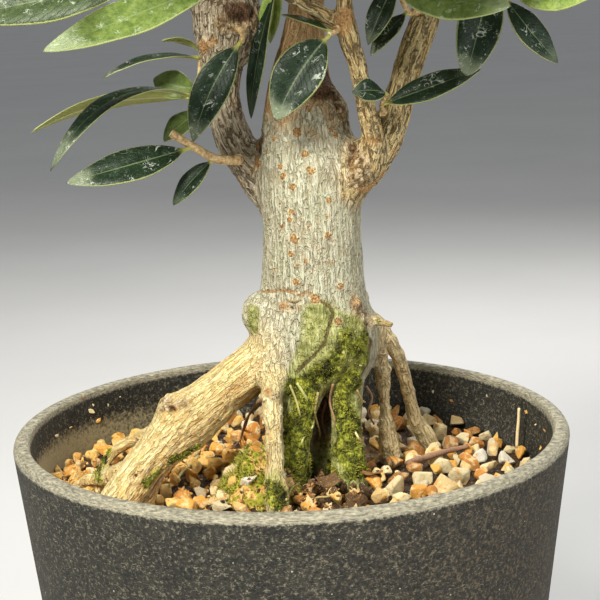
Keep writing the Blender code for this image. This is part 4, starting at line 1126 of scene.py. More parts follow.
# %% One skin round all the stems
VOXEL = 0.55
TUBE_SIDES = 28
RELAX_ROUNDS = 7
SEAM_ROUNDS = 90
SEAM_SPREAD = 50
MOST_FACES = 188000


def edge_rows(mesh):
    rows = np.empty(len(mesh.edges) * 2, np.int32)
    mesh.edges.foreach_get("vertices", rows)
    return rows.reshape(-1, 2)


def softened(values, edges, rounds):
    """Spreads a number over its neighbours, so that it changes gently from one stem to the next."""
    count = np.bincount(edges.ravel(), minlength=len(values))
    for _ in range(rounds):
        total = np.bincount(edges[:, 0], values[edges[:, 1]], len(values))
        total += np.bincount(edges[:, 1], values[edges[:, 0]], len(values))
        values = 0.5 * values + 0.5 * total / count
    return values


def seams(stem, edges, spread):
    """1 where one stem passes into another, fading to 0 a few millimetres away."""
    split = edges[stem[edges[:, 0]] != stem[edges[:, 1]]]
    at_seam = np.zeros(len(stem))
    at_seam[split.ravel()] = 1.0
    return np.clip(5.0 * softened(at_seam, edges, spread), 0.0, 1.0)


def relaxed(points, edges, rounds, share):
    """Moves every point a share of the way to the middle of its neighbours, some rounds over."""
    size = len(points)
    count = np.bincount(edges.ravel(), minlength=size)
    for _ in range(rounds):
        total = np.zeros_like(points)
        for one, other in ((0, 1), (1, 0)):
            for axis in range(3):
                total[:, axis] += np.bincount(edges[:, one], points[edges[:, other], axis], size)
        points = points + share[:, None] * (total / count[:, None] - points)
    return points


class Grain:
    """Tells for points of the wood which stem they lie on, and where along and across it."""

    def __init__(self, stems):
        starts, ends, radii, grown, along, first, second, owner = [], [], [], [], [], [], [], []
        for number, rows in enumerate(stems.values()):
            line = smooth(rows, 2)
            _, side, other = tube_frames(line[:, :3])
            steps = np.linalg.norm(np.diff(line[:, :3], axis=0), axis=1)
            starts.append(line[:-1, :3])
            ends.append(line[1:, :3])
            radii.append(line[:-1, 3])
            grown.append(np.diff(line[:, 3]))
            along.append(np.concatenate([[0.0], np.cumsum(steps)[:-1]]))
            first.append(side[:-1])
            second.append(other[:-1])
            owner.append(np.full(len(steps), number))
        self.starts, self.ends, self.first, self.second = map(np.vstack, (starts, ends, first, second))
        self.radii, self.grown, self.along, self.owner = map(np.concatenate, (radii, grown, along, owner))
        self.spans = self.ends - self.starts
        self.lengths = np.linalg.norm(self.spans, axis=1)

    def of(self, points):
        """For each point: (stem's number, place along, two places across, radius there)."""
        found = []
        for rows in np.array_split(points, max(1, len(points) // 6000)):
            reach = rows[:, None, :] - self.starts[None, :, :]
            t = np.clip((reach * self.spans).sum(axis=2) / self.lengths**2, 0.0, 1.0)
            off = reach - self.spans * t[:, :, None]
            radius = self.radii + self.grown * t
            near = (np.linalg.norm(off, axis=2) - radius).argmin(axis=1)
            pick = np.arange(len(rows))
            off, t, radius = off[pick, near], t[pick, near], radius[pick, near]
            along = self.along[near] + self.lengths[near] * t
            one = (off * self.first[near]).sum(axis=1)
            other = (off * self.second[near]).sum(axis=1)
            found.append(np.column_stack([self.owner[near], along, one, other, radius]))
        return np.vstack(found).T


DROWNED = ("front_prop", "mossy_left", "mossy_right")
grain = Grain({name: rows[1:] if name in DROWNED else rows for name, rows in STEMS.items()})
tubes = [(*tube(smooth(rows, 4), TUBE_SIDES), {}) for rows in (*STEMS.values(), *FILLERS.values())]
wood_points, wood_faces, _ = joined(tubes)
wood = piece("tree_wood", wood_points, wood_faces, [])
remesh = wood.modifiers.new("one skin", "REMESH")
remesh.mode = "VOXEL"
remesh.voxel_size = VOXEL * MM
settle(wood)
wood_points, _ = points_of(wood)
stem, along, one, other, radius = grain.of(wood_points)
wood_edges = edge_rows(wood.data)
seam = seams(stem, wood_edges, SEAM_SPREAD)
wood_points = relaxed(wood_points, wood_edges, RELAX_ROUNDS, 0.12 + 0.45 * ease(radius, 2.0, 7.0))
wood_points = relaxed(wood_points, wood_edges, SEAM_ROUNDS, 0.6 * seam * ease(radius, 2.2, 4.5))
put_points(wood, wood_points)
print("skin:", len(wood_points), "points")

# %% [markdown]
# ## Marks on the wood
#
# Algae, moss, scars, corky dots and painted shade in holes, cracks and hollows lie where the photograph shows them.
# Each mark is noted as its place in the 600 by 600 picture, its reach in millimetres and its strength, and a line of
# sight from the camera carries it onto the skin. A mark fades with the distance from that point in space, so it also
# wraps round the stem.

# %% Places of the marks
MARKS = {
    "algae": [
        (312, 318, 5.0, 0.5), (330, 325, 6.0, 0.8), (322, 345, 6.0, 0.7), (345, 340, 6.0, 0.9), (303, 350, 4.0, 0.35),
        (310, 366, 5.0, 0.6), (352, 360, 5.0, 0.8), (335, 375, 6.0, 0.9), (363, 345, 3.5, 0.6), (253, 310, 2.2, 1.0),
        (252, 322, 2.2, 1.0), (254, 332, 2.0, 0.7), (357, 325, 3.5, 0.6), (298, 372, 4.0, 0.5), (318, 308, 4.0, 0.4),
        (205, 395, 2.5, 0.3), (276, 475, 4.0, 0.6), (296, 405, 7.0, 0.9), (345, 420, 7.0, 0.9), (232, 388, 3.0, 0.3),
    ],
    "moss": [
        (345, 333, 3.0, 0.8), (338, 352, 3.5, 0.7), (330, 370, 4.0, 0.8), (318, 374, 3.5, 0.8), (356, 350, 3.0, 0.7),
        (303, 388, 4.0, 0.9), (307, 405, 4.5, 1.0), (300, 425, 5.0, 1.0), (298, 445, 5.0, 1.0), (294, 465, 5.0, 1.0),
        (292, 485, 5.0, 1.0), (340, 398, 3.0, 0.7), (345, 415, 3.5, 0.8), (348, 435, 3.5, 0.8), (350, 452, 4.0, 0.9),
        (290, 385, 2.5, 0.7), (187, 455, 2.4, 1.0), (174, 462, 2.4, 1.0), (198, 447, 2.0, 0.9), (158, 473, 2.4, 0.8),
        (146, 483, 2.4, 0.8), (276, 492, 3.0, 1.0), (279, 503, 3.4, 1.0), (268, 481, 1.8, 0.6), (262, 381, 1.5, 0.5),
        (246, 389, 1.4, 0.5), (228, 397, 1.4, 0.4), (104, 459, 1.8, 1.0), (110, 451, 1.4, 0.9), (98, 470, 1.8, 0.8),
        (101, 481, 2.2, 0.7), (118, 479, 1.8, 0.6), (378, 320, 1.8, 0.7), (366, 334, 2.0, 0.7), (362, 343, 3.0, 0.8),
        (366, 360, 2.6, 0.7), (350, 468, 3.4, 0.8), (357, 425, 2.6, 0.6), (352, 375, 3.4, 0.8), (346, 388, 3.0, 0.8),
        (360, 385, 2.6, 0.6),
    ],
    # Brown marks: the bark's own brown on the torn top and the knots, and painted shade in the knot hole, the cracks
    # at the forks and the hollows between the roots.
    "brown": [
        (318, 384, 2.6, 0.9), (327, 391, 3.0, 1.0), (366, 352, 3.0, 0.8), (360, 366, 3.2, 0.9), (352, 386, 2.6, 0.8),
        (371, 341, 1.8, 0.7), (339, 358, 1.8, 0.8), (324, 366, 1.6, 0.7),
        (240, 20, 3.4, 1.0), (252, 10, 3.0, 0.7), (258, 30, 3.0, 0.6), (225, 8, 3.0, 0.5), (318, 66, 3.6, 1.0),
        (329, 80, 3.6, 0.9), (334, 98, 2.6, 0.6), (309, 86, 3.6, 0.9), (320, 94, 2.6, 0.7), (298, 96, 3.0, 0.7),
        (258, 150, 2.6, 1.0), (262, 138, 2.4, 0.8), (255, 162, 1.8, 0.6), (352, 148, 2.2, 0.9), (351, 160, 1.8, 0.8),
        (346, 116, 2.4, 0.6), (322, 400, 3.8, 1.0), (322, 420, 3.8, 1.0), (322, 445, 4.2, 1.0), (340, 384, 3.4, 0.8),
        (355, 372, 3.4, 0.7), (346, 365, 3.0, 0.6), (366, 330, 2.2, 0.7), (358, 308, 1.8, 0.7), (172, 410, 1.5, 1.0),
        (291, 310, 1.0, 0.9), (367, 396, 2.6, 0.8), (372, 382, 2.4, 0.7), (134, 476, 0.9, 1.0), (146, 488, 0.9, 1.0),
    ],
    "rust": [
        (372, 187, 2.4, 1.0), (384, 174, 2.2, 0.9), (395, 154, 2.0, 0.7), (362, 190, 2.2, 0.8), (345, 16, 3.4, 1.0),
        (343, 30, 2.4, 0.7), (203, 47, 2.6, 1.0), (213, 42, 2.2, 0.7), (262, 212, 1.4, 0.5), (236, 182, 2.6, 0.8),
        (246, 196, 2.6, 0.8), (283, 306, 1.9, 0.9), (300, 307, 1.7, 0.7), (356, 303, 2.6, 0.7), (366, 139, 2.0, 0.6),
        (378, 141, 2.0, 0.6), (382, 108, 1.6, 0.8), (174, 409, 1.6, 0.8), (190, 403, 1.4, 0.7),
        (268, 392, 2.0, 0.9), (138, 484, 2.2, 0.6), (338, 110, 2.4, 0.5), (372, 350, 2.4, 0.6), (380, 340, 2.0, 0.6),
    ],
    "rough": [
        (358, 158, 3.2, 1.0), (360, 172, 3.4, 1.0), (366, 184, 3.0, 1.0), (352, 180, 2.8, 0.8), (350, 146, 2.4, 0.8),
        (240, 184, 3.2, 1.0), (248, 196, 3.0, 1.0), (255, 205, 2.4, 0.7), (262, 130, 2.4, 0.8), (266, 118, 2.4, 0.8),
        (320, 75, 4.0, 0.9), (306, 90, 3.6, 0.9), (333, 95, 3.4, 0.9), (343, 112, 3.2, 0.9), (247, 20, 5.0, 1.0),
        (222, 22, 4.0, 0.8), (205, 45, 2.4, 0.9), (345, 18, 3.0, 1.0), (345, 340, 4.0, 0.7), (335, 368, 5.0, 0.9),
        (358, 322, 3.4, 0.8), (356, 304, 3.2, 1.0), (168, 404, 3.0, 1.0), (186, 404, 2.6, 0.8), (290, 308, 3.0, 0.7),
        (368, 320, 3.0, 0.9), (382, 400, 3.0, 0.7), (380, 352, 2.4, 0.9), (130, 480, 3.0, 0.5), (276, 395, 2.4, 0.6),
    ],
    "bulge": [
        (167, 404, 3.6, 1.9), (186, 400, 2.6, 0.9), (281, 306, 1.3, 0.7), (301, 305, 1.3, 0.7), (291, 303, 1.4, 0.5),
        (345, 18, 2.4, 0.9), (357, 303, 2.2, 0.8), (362, 176, 2.4, 0.8), (250, 193, 2.2, 0.7), (380, 352, 1.6, 0.8),
        (383, 372, 1.2, 0.6), (200, 46, 2.0, 0.7), (276, 396, 1.6, 0.6), (349, 98, 1.2, 0.5), (256, 24, 3.0, 1.0),
        (222, 14, 3.0, 0.8),
    ],
    "dent": [
        (240, 20, 2.2, 3.4), (172, 410, 1.1, 2.6), (291, 310, 1.1, 1.0), (258, 150, 1.6, 1.6), (352, 149, 1.4, 1.4),
        (134, 476, 0.8, 1.0), (146, 488, 0.8, 1.0), (184, 404, 0.8, 0.7), (196, 402, 0.8, 0.6), (258, 298, 1.4, 0.8),
        (251, 318, 1.3, 1.2), (322, 420, 3.0, 1.2), (360, 310, 0.8, 0.8), (355, 300, 0.7, 0.6), (330, 112, 1.0, 0.8),
    ],
}
CORK_DOTS = [
    (297, 132, 1.6), (274, 139, 0.9), (268, 151, 1.0), (305, 154, 1.2), (259, 165, 1.4), (280, 167, 1.0),
    (311, 170, 1.5), (283, 176, 1.2), (293, 187, 1.2), (329, 200, 1.1), (343, 196, 0.8), (281, 203, 0.6),
    (292, 212, 1.1), (290, 219, 1.1), (302, 219, 0.5), (327, 217, 0.6), (353, 220, 0.7), (270, 220, 0.6),
    (282, 226, 0.7), (308, 227, 0.6), (294, 239, 1.5), (327, 235, 1.2), (267, 247, 0.7), (291, 254, 1.0),
    (305, 261, 0.8), (297, 265, 0.7), (274, 269, 0.6), (359, 255, 0.9), (296, 282, 1.2), (341, 286, 1.2),
    (315, 299, 1.6), (338, 321, 1.4), (309, 108, 1.1), (336, 134, 1.2), (331, 130, 0.9), (341, 119, 1.0),
    (266, 206, 0.5), (335, 240, 0.5), (318, 250, 0.5), (332, 262, 0.6), (310, 192, 0.5), (350, 180, 0.6),
]
BACK_DOTS = 46
# Creases are dented into the skin and painted dark as the shade in them.
CREASES = [
    [(263, 291), (281, 290), (296, 293), (308, 294), (321, 300), (330, 306), (333, 313)],
    [(333, 313), (328, 330), (325, 343), (315, 355), (306, 363), (297, 372)],
    [(352, 149), (354, 163), (352, 172)],
    [(257, 144), (257, 158), (252, 172)],
    [(366, 139), (374, 141), (382, 140)],
]

skin_faces = [tuple(face.vertices) for face in wood.data.polygons]
skin = BVHTree.FromPolygons(wood_points.tolist(), skin_faces)


def on_skin(px, py, tree=skin):
    """Where the line of sight through a pixel meets the wood, and the way out of the wood there."""
    hit, out, _, _ = tree.ray_cast(Vector(EYE), Vector(sight(px, py)))
    return (None, None) if hit is None else (np.array(hit), np.array(out))


def settled_marks(rows):
    found = [(on_skin(px, py)[0], reach, strength) for px, py, reach, strength in rows]
    return [row for row in found if row[0] is not None]


def fade(points, marks):
    """How strong the marks are at each point: the strongest one counts most, near ones add up a little."""
    total = np.zeros(len(points))
    for place, reach, strength in marks:
        away = ((points - place) ** 2).sum(axis=1) / reach**2
        total += strength * np.exp(-away)
    return total


def crease_places(path):
    found = []
    for (ax, ay), (bx, by) in zip(path[:-1], path[1:]):
        for t in np.linspace(0.0, 1.0, 12):
            place, _ = on_skin(ax + (bx - ax) * t, ay + (by - ay) * t)
            if place is not None:
                found.append(place)
    return found


marks = {name: settled_marks(rows) for name, rows in MARKS.items()}
dots = [(on_skin(px, py)[0], size) for px, py, size in CORK_DOTS]
dots = [row for row in dots if row[0] is not None]
dot_rng = random.Random(3)
while len(dots) < len(CORK_DOTS) + BACK_DOTS:
    turn = math.radians(dot_rng.uniform(10, 170))
    start = np.array((7.5 + 60 * math.cos(turn), 60 * math.sin(turn), dot_rng.uniform(150, 208)))
    hit = skin.ray_cast(Vector(start), Vector((7.5, 0.0, start[2])) - Vector(start))[0]
    if hit is not None:
        dots.append((np.array(hit), dot_rng.choice((0.5, 0.7, 0.9, 1.2, 1.5))))
creases = [place for path in CREASES for place in crease_places(path)]
print("marks:", {name: len(rows) for name, rows in marks.items()})
print("dots:", len(dots), "crease points:", len(creases))

# %% [markdown]
# Bark relief follows the grain. Noise that is stretched along the stem gives long fissures, finer on the trunk and
# coarser on the old roots and branches, and thin where the wood is young. The big root is wrinkled lengthwise on
# its underside. All of it is added up as a height in millimetres and pushed out of the skin.

# %% Push the bark's relief out of the skin
OWNERS = list(STEMS)
FISSURE_STRETCH = 0.15
WRINKLE_STRETCH = 0.11
SHARE_ROUNDS = 14
KNOBBLY = ("knotty_prop", "front_prop", "slanting_prop", "side_rootlet")


def nearest_of(points, places):
    """The distance from each point to the nearest of some places."""
    best = np.full(len(points), 1e9)
    for place in places:
        best = np.minimum(best, ((points - place) ** 2).sum(axis=1))
    return np.sqrt(best)


def owned(stem, *names):
    return np.isin(stem, [OWNERS.index(name) for name in names]).astype(float)


def ridges(rows, wavelength, shift):
    """1 along thin winding lines of the noise, falling to 0 between them."""
    return 1.0 - np.clip(np.abs(wander(rows, wavelength, shift)) * 3.2, 0.0, 1.0)


def bark_height(points, ways, calm, edges):
    """The relief in millimetres. `calm` is 1 where two stems meet and their grain would clash."""
    stem, along, one, other, radius = grain.of(points)
    grown = np.column_stack([one, other, along * FISSURE_STRETCH])
    size = softened(ease(radius, 1.0, 7.0), edges, SHARE_ROUNDS)
    limbs = softened(owned(stem, *LIMBS, "torn_top"), edges, SHARE_ROUNDS)
    old = np.maximum(limbs, ease(points[:, 2], 190.0, 212.0) * 0.8 + 0.22)
    height = wander(points, 13.0) * 0.45 * size + wander(points, 5.5, 3.0) * 0.24 * (0.4 + size)
    height += wander(points, 2.4, 8.0) * 0.07
    fissures = ridges(grown, 2.8, 1.0) ** 2 * 0.75 * old * (0.3 + 0.7 * size)
    fissures += ridges(grown, 1.5, 5.0) ** 2 * 0.30 * (0.45 + 0.55 * old)
    wrinkled = owned(stem, "big_left") * ease(ways[:, 2], 0.75, -0.1)
    folded = np.column_stack([one, other, along * WRINKLE_STRETCH])
    fissures += wrinkled * (ridges(folded, 1.7, 2.0) * 0.45 + ridges(folded, 3.4, 7.0) * 0.4)
    height -= fissures * (1.0 - 0.9 * calm)
    knobbly = softened(owned(stem, *KNOBBLY), edges, SHARE_ROUNDS)
    height += knobbly * wander(points, 3.4, 12.0) * 0.45
    spikes = np.clip(wander(points, 1.5, 20.0) - 0.25, 0.0, 1.0) * 1.4
    height += softened(owned(stem, "front_prop", "knotty_prop"), edges, SHARE_ROUNDS) * spikes
    height += fade(points, marks["rough"]) * (wander(points, 1.5, 4.0) * 0.75 + wander(points, 3.2, 6.0) * 0.5)
    height += fade(points, marks["bulge"]) - fade(points, marks["dent"])
    height += 0.32 * ease(fade(points, marks["moss"]), 0.25, 0.8) * (0.6 + wander(points, 1.3, 2.0))
    height -= 0.42 * ease(nearest_of(points, creases), 0.9, 0.1)
    for place, width in dots:
        away = np.linalg.norm(points - place, axis=1) / width
        height += 0.26 * ease(away, 1.15, 0.7)
    leader = ease(points[:, 2], 205.0, 214.0) * owned(stem, "trunk")
    return height * (1.0 - 0.6 * leader)


_, wood_ways = points_of(wood)
relief = bark_height(wood_points, wood_ways, seam, wood_edges)
buried = ease(wood_points[:, 2], 103.0, 106.0)
put_points(wood, wood_points + wood_ways * (relief * buried)[:, None])
thin = wood.modifiers.new("fewer faces", "DECIMATE")
thin.ratio = min(1.0, MOST_FACES / (2 * len(wood.data.polygons)))
settle(wood)
print("relief from", round(relief.min(), 2), "to", round(relief.max(), 2), "mm;", len(wood.data.polygons), "faces")

# %% [markdown]
# The finish reads numbers stored on the skin: where the grain runs, how green, brown, rusty or creamy the bark is,
# and how far the nearest corky dot or crease lies. A distance stays exact between the points of the mesh, so the
# small marks get crisp edges although the mesh is coarser than they are.

# %% Finish of the bark
wood_points, wood_ways = points_of(wood)
stem, along, one, other, radius = grain.of(wood_points)
edges = edge_rows(wood.data)


def belongs(rounds, *names):
    return softened(owned(stem, *names), edges, rounds)


bark_skin = BVHTree.FromPolygons(wood_points.tolist(), [tuple(face.vertices) for face in wood.data.polygons])


def pulled(place):
    """A place from the smooth skin, pulled onto the skin with its relief."""
    return np.array(bark_skin.find_nearest(Vector(place))[0])


creases = [pulled(place) for place in creases]
dots = [(pulled(place), width) for place, width in dots]
marks = {name: [(pulled(place), *row) for place, *row in rows] for name, rows in marks.items()}

height = wood_points[:, 2]
near_soil = ease(height, 116.0, 107.0)
patchy = wander(wood_points, 5.0, 1.5)
limb = belongs(60, *LIMBS, *CROWN_STEMS, "torn_top")
YOUNG = (
    "right_front", "right_front_fork", "right_shoulder", "right_branch", "right_inner", "right_low", "knotty_prop",
    "slanting_prop", "pale_stub",
)
young = belongs(8, *YOUNG, *CROWN_STEMS)
big_root = belongs(60, "big_left", "side_rootlet")
yellowed = np.maximum(big_root, 0.8 * belongs(10, "front_prop"))
shaded = ease(wood_ways[:, 1], 0.0, 0.8) * ease(height, 178.0, 138.0)
mossy = belongs(14, "mossy_left", "mossy_right") * ease(height, 134.0, 124.0)
moss = fade(wood_points, marks["moss"]) + near_soil * (0.35 + patchy) * 0.6 + shaded * patchy * 0.5
moss += mossy * (0.25 + 0.9 * patchy)
algae = fade(wood_points, marks["algae"]) + shaded * (0.45 + 0.5 * patchy) + 0.5 * moss + 0.9 * mossy
dot_away = np.full(len(wood_points), 9.0)
for place, width in dots:
    dot_away = np.minimum(dot_away, np.linalg.norm(wood_points - place, axis=1) / width)
bark_rows = {
    "grain": np.column_stack([one, other, along]),
    "moss": np.clip(moss, 0.0, 1.5),
    "algae": np.clip(algae, 0.0, 1.5),
    **{name: np.clip(fade(wood_points, marks[name]), 0.0, 1.5) for name in ("brown", "rust", "rough")},
    "dot": dot_away,
    "crease": nearest_of(wood_points, creases),
    "limb": limb,
    "young": young,
    "prop": belongs(6, "knotty_prop", "slanting_prop"),
    "cream": yellowed * ease(wood_ways[:, 2], -0.6, 0.3),
    "wrinkled": big_root * ease(wood_ways[:, 2], 0.6, -0.1),
    "leader": belongs(4, "trunk") * ease(height + 8.0 * patchy, 203.0, 214.0),
    "calm": seams(stem, edges, 14),
}
for name, values in bark_rows.items():
    give_attribute(wood.data, name, values)

bark = Finish("olive_bark", Specular_IOR_Level=0.2)
flat = bark.place()
calm = bark.span(bark.read("calm"), 0.3, 0.95)
with_grain = {0: bark.read("grain", "Vector"), 1: (1.0, 1.0, 0.085)}
grown = bark.node("ShaderNodeVectorMath", with_grain, operation="MULTIPLY").outputs[0]
sway = bark.node("ShaderNodeTexNoise", {"Vector": flat, "Scale": 0.3, "Detail": 2.0}).outputs["Color"]


def swayed(at):
    inputs = {0: sway, 1: (1.4, 1.4, 0.4), 2: at}
    return bark.node("ShaderNodeVectorMath", inputs, operation="MULTIPLY_ADD").outputs[0]


grained, upright = swayed(grown), swayed(bark.place(1.0, 1.0, 0.11))


def joined_up(with_stem, at_seam):
    """Follows the stem's own grain, and runs upright where two stems meet and their grains would clash."""
    return bark.plus(bark.times(with_stem, bark.math("SUBTRACT", 1.0, calm)), bark.times(at_seam, calm))


def along_grain(*settings):
    return joined_up(bark.noise(grained, *settings), bark.noise(upright, *settings))


def fissures(scale, width):
    """Thin lines between long narrow plates of bark, broken here and there."""
    lines = []
    for at in (grained, upright):
        edge = bark.cells(at, scale, "Distance", "DISTANCE_TO_EDGE")
        lines.append(bark.span(edge, width, 0.3 * width))
    return bark.times(joined_up(*lines), bark.span(bark.noise(flat, 0.8 * scale, 2.0), 0.38, 0.52))


streak = along_grain(0.85, 5.0, 0.7)
hair = along_grain(2.2, 4.0, 0.7)
cracks = fissures(0.72, 0.13)
fine_cracks = fissures(1.5, 0.16)
blotch = bark.noise(flat, 0.13, 3.0)
speck = bark.noise(flat, 1.3, 3.0, 0.7)
lumps = bark.noise(flat, 0.55, 3.0, 0.6, 0.6)
limb_share, young_share = bark.read("limb"), bark.read("young")
tone = bark.ramp(streak, (0.34, (0.43, 0.41, 0.275)), (0.5, (0.50, 0.475, 0.34)), (0.68, (0.58, 0.565, 0.435)))
tone = bark.mix(bark.span(blotch, 0.45, 0.65, 0.0, 0.45), tone, (0.46, 0.49, 0.34))
limb_tone = bark.ramp(streak, (0.34, (0.25, 0.18, 0.11)), (0.5, (0.45, 0.38, 0.26)), (0.70, (0.66, 0.60, 0.46)))
tone = bark.mix(limb_share, tone, limb_tone)
young_tone = bark.ramp(streak, (0.34, (0.38, 0.24, 0.085)), (0.48, (0.56, 0.42, 0.19)), (0.7, (0.70, 0.60, 0.34)))
tone = bark.mix(young_share, tone, young_tone)
# Painted light: the knotty and slanting props are painted paler, to make up for the trunk's shade on them.
tone = bark.mix(bark.times(bark.read("prop"), 0.6), tone, (0.90, 0.72, 0.40))
cream_tone = bark.ramp(streak, (0.36, (0.62, 0.43, 0.13)), (0.5, (0.80, 0.63, 0.27)), (0.66, (0.88, 0.79, 0.45)))
tone = bark.mix(bark.times(bark.read("cream"), 0.9), tone, cream_tone)
wrinkle_tone = bark.ramp(hair, (0.36, (0.48, 0.24, 0.05)), (0.5, (0.76, 0.53, 0.19)), (0.64, (0.88, 0.75, 0.41)))
tone = bark.mix(bark.times(bark.read("wrinkled"), 0.9), tone, wrinkle_tone)
leader_tone = bark.ramp(streak, (0.3, (0.40, 0.21, 0.085)), (0.7, (0.64, 0.42, 0.21)))
tone = bark.mix(bark.read("leader"), tone, leader_tone)
# The fissures are painted darker: partly the bark's own darker colour in them, partly painted shade, near black on the
# limbs.
crack_shade_tone = bark.mix(limb_share, (0.27, 0.205, 0.095), (0.075, 0.045, 0.02))
crack_shade_tone = bark.mix(bark.read("cream"), crack_shade_tone, (0.50, 0.30, 0.09))
crack_shade_tone = bark.mix(bark.read("wrinkled"), crack_shade_tone, (0.42, 0.16, 0.025))
fine_crack_shade_tone = bark.mix(limb_share, (0.33, 0.28, 0.155), (0.18, 0.12, 0.06))
tone = bark.mix(bark.times(fine_cracks, 0.45), tone, fine_crack_shade_tone)
tone = bark.mix(bark.times(cracks, bark.span(limb_share, 0.0, 1.0, 0.5, 0.8)), tone, crack_shade_tone)
rough_share = bark.read("rough")
pale_crust = bark.ramp(lumps, (0.40, (0.10, 0.05, 0.02)), (0.5, (0.42, 0.29, 0.14)), (0.62, (0.68, 0.56, 0.36)))
tone = bark.mix(bark.span(bark.plus(rough_share, bark.times(lumps, 0.5)), 0.65, 1.0, 0.0, 0.85), tone, pale_crust)
rust_share = bark.span(bark.plus(bark.read("rust"), bark.times(speck, 0.9)), 0.8, 1.25, 0.0, 0.9)
tone = bark.mix(rust_share, tone, bark.ramp(speck, (0.35, (0.30, 0.13, 0.04)), (0.65, (0.58, 0.36, 0.15))))
# Dark brown where the brown marks are: partly the bark's own brown, partly painted shade in holes, cracks and the
# hollows between the roots.
brown_and_shade_share = bark.span(bark.plus(bark.read("brown"), bark.times(speck, 0.8)), 0.8, 1.2, 0.0, 0.95)
tone = bark.mix(brown_and_shade_share, tone, bark.ramp(speck, (0.35, (0.035, 0.018, 0.010)), (0.65, (0.17, 0.085, 0.04))))
algae_share = bark.span(bark.plus(bark.read("algae"), bark.times(speck, 0.8)), 0.72, 1.3, 0.0, 0.85)
green = bark.noise(flat, 0.42, 4.0, 0.7, 0.5)
algae_tone = bark.ramp(green, (0.36, (0.11, 0.125, 0.018)), (0.5, (0.30, 0.31, 0.065)), (0.64, (0.50, 0.50, 0.20)))
tone = bark.mix(algae_share, tone, algae_tone)
moss_share = bark.span(bark.plus(bark.read("moss"), bark.times(speck, 1.0)), 0.95, 1.3)
moss_on_bark = bark.ramp(
    green, (0.38, (0.022, 0.020, 0.006)), (0.48, (0.10, 0.11, 0.012)), (0.59, (0.31, 0.33, 0.03)),
    (0.68, (0.58, 0.55, 0.12)),
)
tone = bark.mix(moss_share, tone, moss_on_bark)
# Painted shade: the creases are painted dark, nearly black where algae grows.
crease_shade_share = bark.span(bark.plus(bark.read("crease"), bark.times(hair, 0.35)), 0.85, 0.55, 0.0, 0.85)
tone = bark.mix(crease_shade_share, tone, bark.mix(algae_share, (0.33, 0.19, 0.07), (0.05, 0.04, 0.012)))
dot_edge = bark.plus(bark.read("dot"), bark.times(bark.noise(flat, 1.1, 2.0), 1.1))
dot_share = bark.span(dot_edge, 1.5, 1.3)
tone = bark.mix(bark.span(dot_edge, 1.75, 1.5, 0.0, 0.35), tone, (0.75, 0.66, 0.42))
dot_tone = bark.ramp(bark.noise(flat, 2.2, 2.0), (0.35, (0.22, 0.10, 0.035)), (0.6, (0.50, 0.31, 0.12)))
tone = bark.mix(dot_share, tone, dot_tone)
bark_relief = bark.plus(bark.times(streak, 0.5), bark.times(hair, 0.3), bark.times(speck, 0.25))
bark_relief = bark.plus(bark_relief, bark.times(lumps, rough_share, 2.0))
bark_relief = bark.plus(bark_relief, bark.times(cracks, -0.9), bark.times(fine_cracks, -0.45))
bark.bump(bark_relief, 0.5)
bark_material = bark.paint(tone, bark.span(streak, 0.3, 0.7, 0.82, 0.68))
wood.data.materials.append(bark_material)
wood.data.shade_smooth()
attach(wood, "root")
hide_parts("tree")
print("bark finished on", len(wood.data.vertices), "points")

# %% [markdown]
# ## The grit
#
# The pot is filled with angular stones of four to seven millimetres. A flat disc with a picture of grit would look
# like carpet, so the stones are real pieces. They are dropped one by one: of some random places the lowest one is
# taken, where the stone rests on those already there. A bed under them, painted near black as the shade between the
# stones, closes the gaps. The stones are a few shapes, each a hull of random points with its edges bevelled, turned
# and stretched anew for every stone.

# %% Shapes of stones
GRIT_LEVEL = 105.6
MOUND_HEIGHT = 3.0
MOUND_CENTRE = (8.0, -4.0)
MOUND_SPREAD = 34.0
HEAP_CENTRE = (-9.0, -16.0)
HEAP_REACH = (13.0, 14.0)
HEAP_HEIGHT = 9.5
BED_DEPTH = 4.0
STONE_SHAPES = 14
STONE_POINTS = 13


def in_heap(x, y):
    """1 in the middle of the mossy heap between the big root and the front one, and 0 outside it."""
    away2 = ((np.asarray(x) - HEAP_CENTRE[0]) / HEAP_REACH[0]) ** 2
    away2 = away2 + ((np.asarray(y) - HEAP_CENTRE[1]) / HEAP_REACH[1]) ** 2
    return np.clip(1.0 - away2, 0.0, 1.0)


def grit_height(x, y):
    away = np.hypot(np.asarray(x) - MOUND_CENTRE[0], np.asarray(y) - MOUND_CENTRE[1])
    return GRIT_LEVEL + MOUND_HEIGHT * np.exp(-((away / MOUND_SPREAD) ** 2)) + HEAP_HEIGHT * in_heap(x, y)


def stone_shape(rng, bevelled=True):
    """A chip of rock about one unit in radius: its points and faces."""
    shape = bmesh.new()
    stretch = (1.0, rng.uniform(0.72, 1.0), rng.uniform(0.58, 0.85))
    for _ in range(STONE_POINTS if bevelled else 9):
        way = unit([rng.gauss(0.0, 1.0) for _ in range(3)]) * rng.uniform(0.86, 1.08)
        shape.verts.new([value * share for value, share in zip(way, stretch)])
    hull = bmesh.ops.convex_hull(shape, input=shape.verts)
    inner = [item for item in hull["geom_interior"] if isinstance(item, bmesh.types.BMVert)]
    bmesh.ops.delete(shape, geom=inner, context="VERTS")
    if bevelled:
        bmesh.ops.dissolve_limit(shape, angle_limit=math.radians(15), verts=shape.verts, edges=shape.edges)
        bmesh.ops.bevel(shape, geom=list(shape.edges), offset=0.075, segments=1, affect="EDGES", profile=0.5)
        bmesh.ops.triangulate(shape, faces=[face for face in shape.faces if len(face.verts) > 4])
        for vert in shape.verts:
            vert.co *= 1.0 + 0.07 * noise.noise(vert.co * 2.3) + 0.03 * noise.noise(vert.co * 6.0)
    shape.verts.index_update()
    points = np.array([vert.co[:] for vert in shape.verts])
    faces = [tuple(vert.index for vert in face.verts) for face in shape.faces]
    shape.free()
    return points, faces


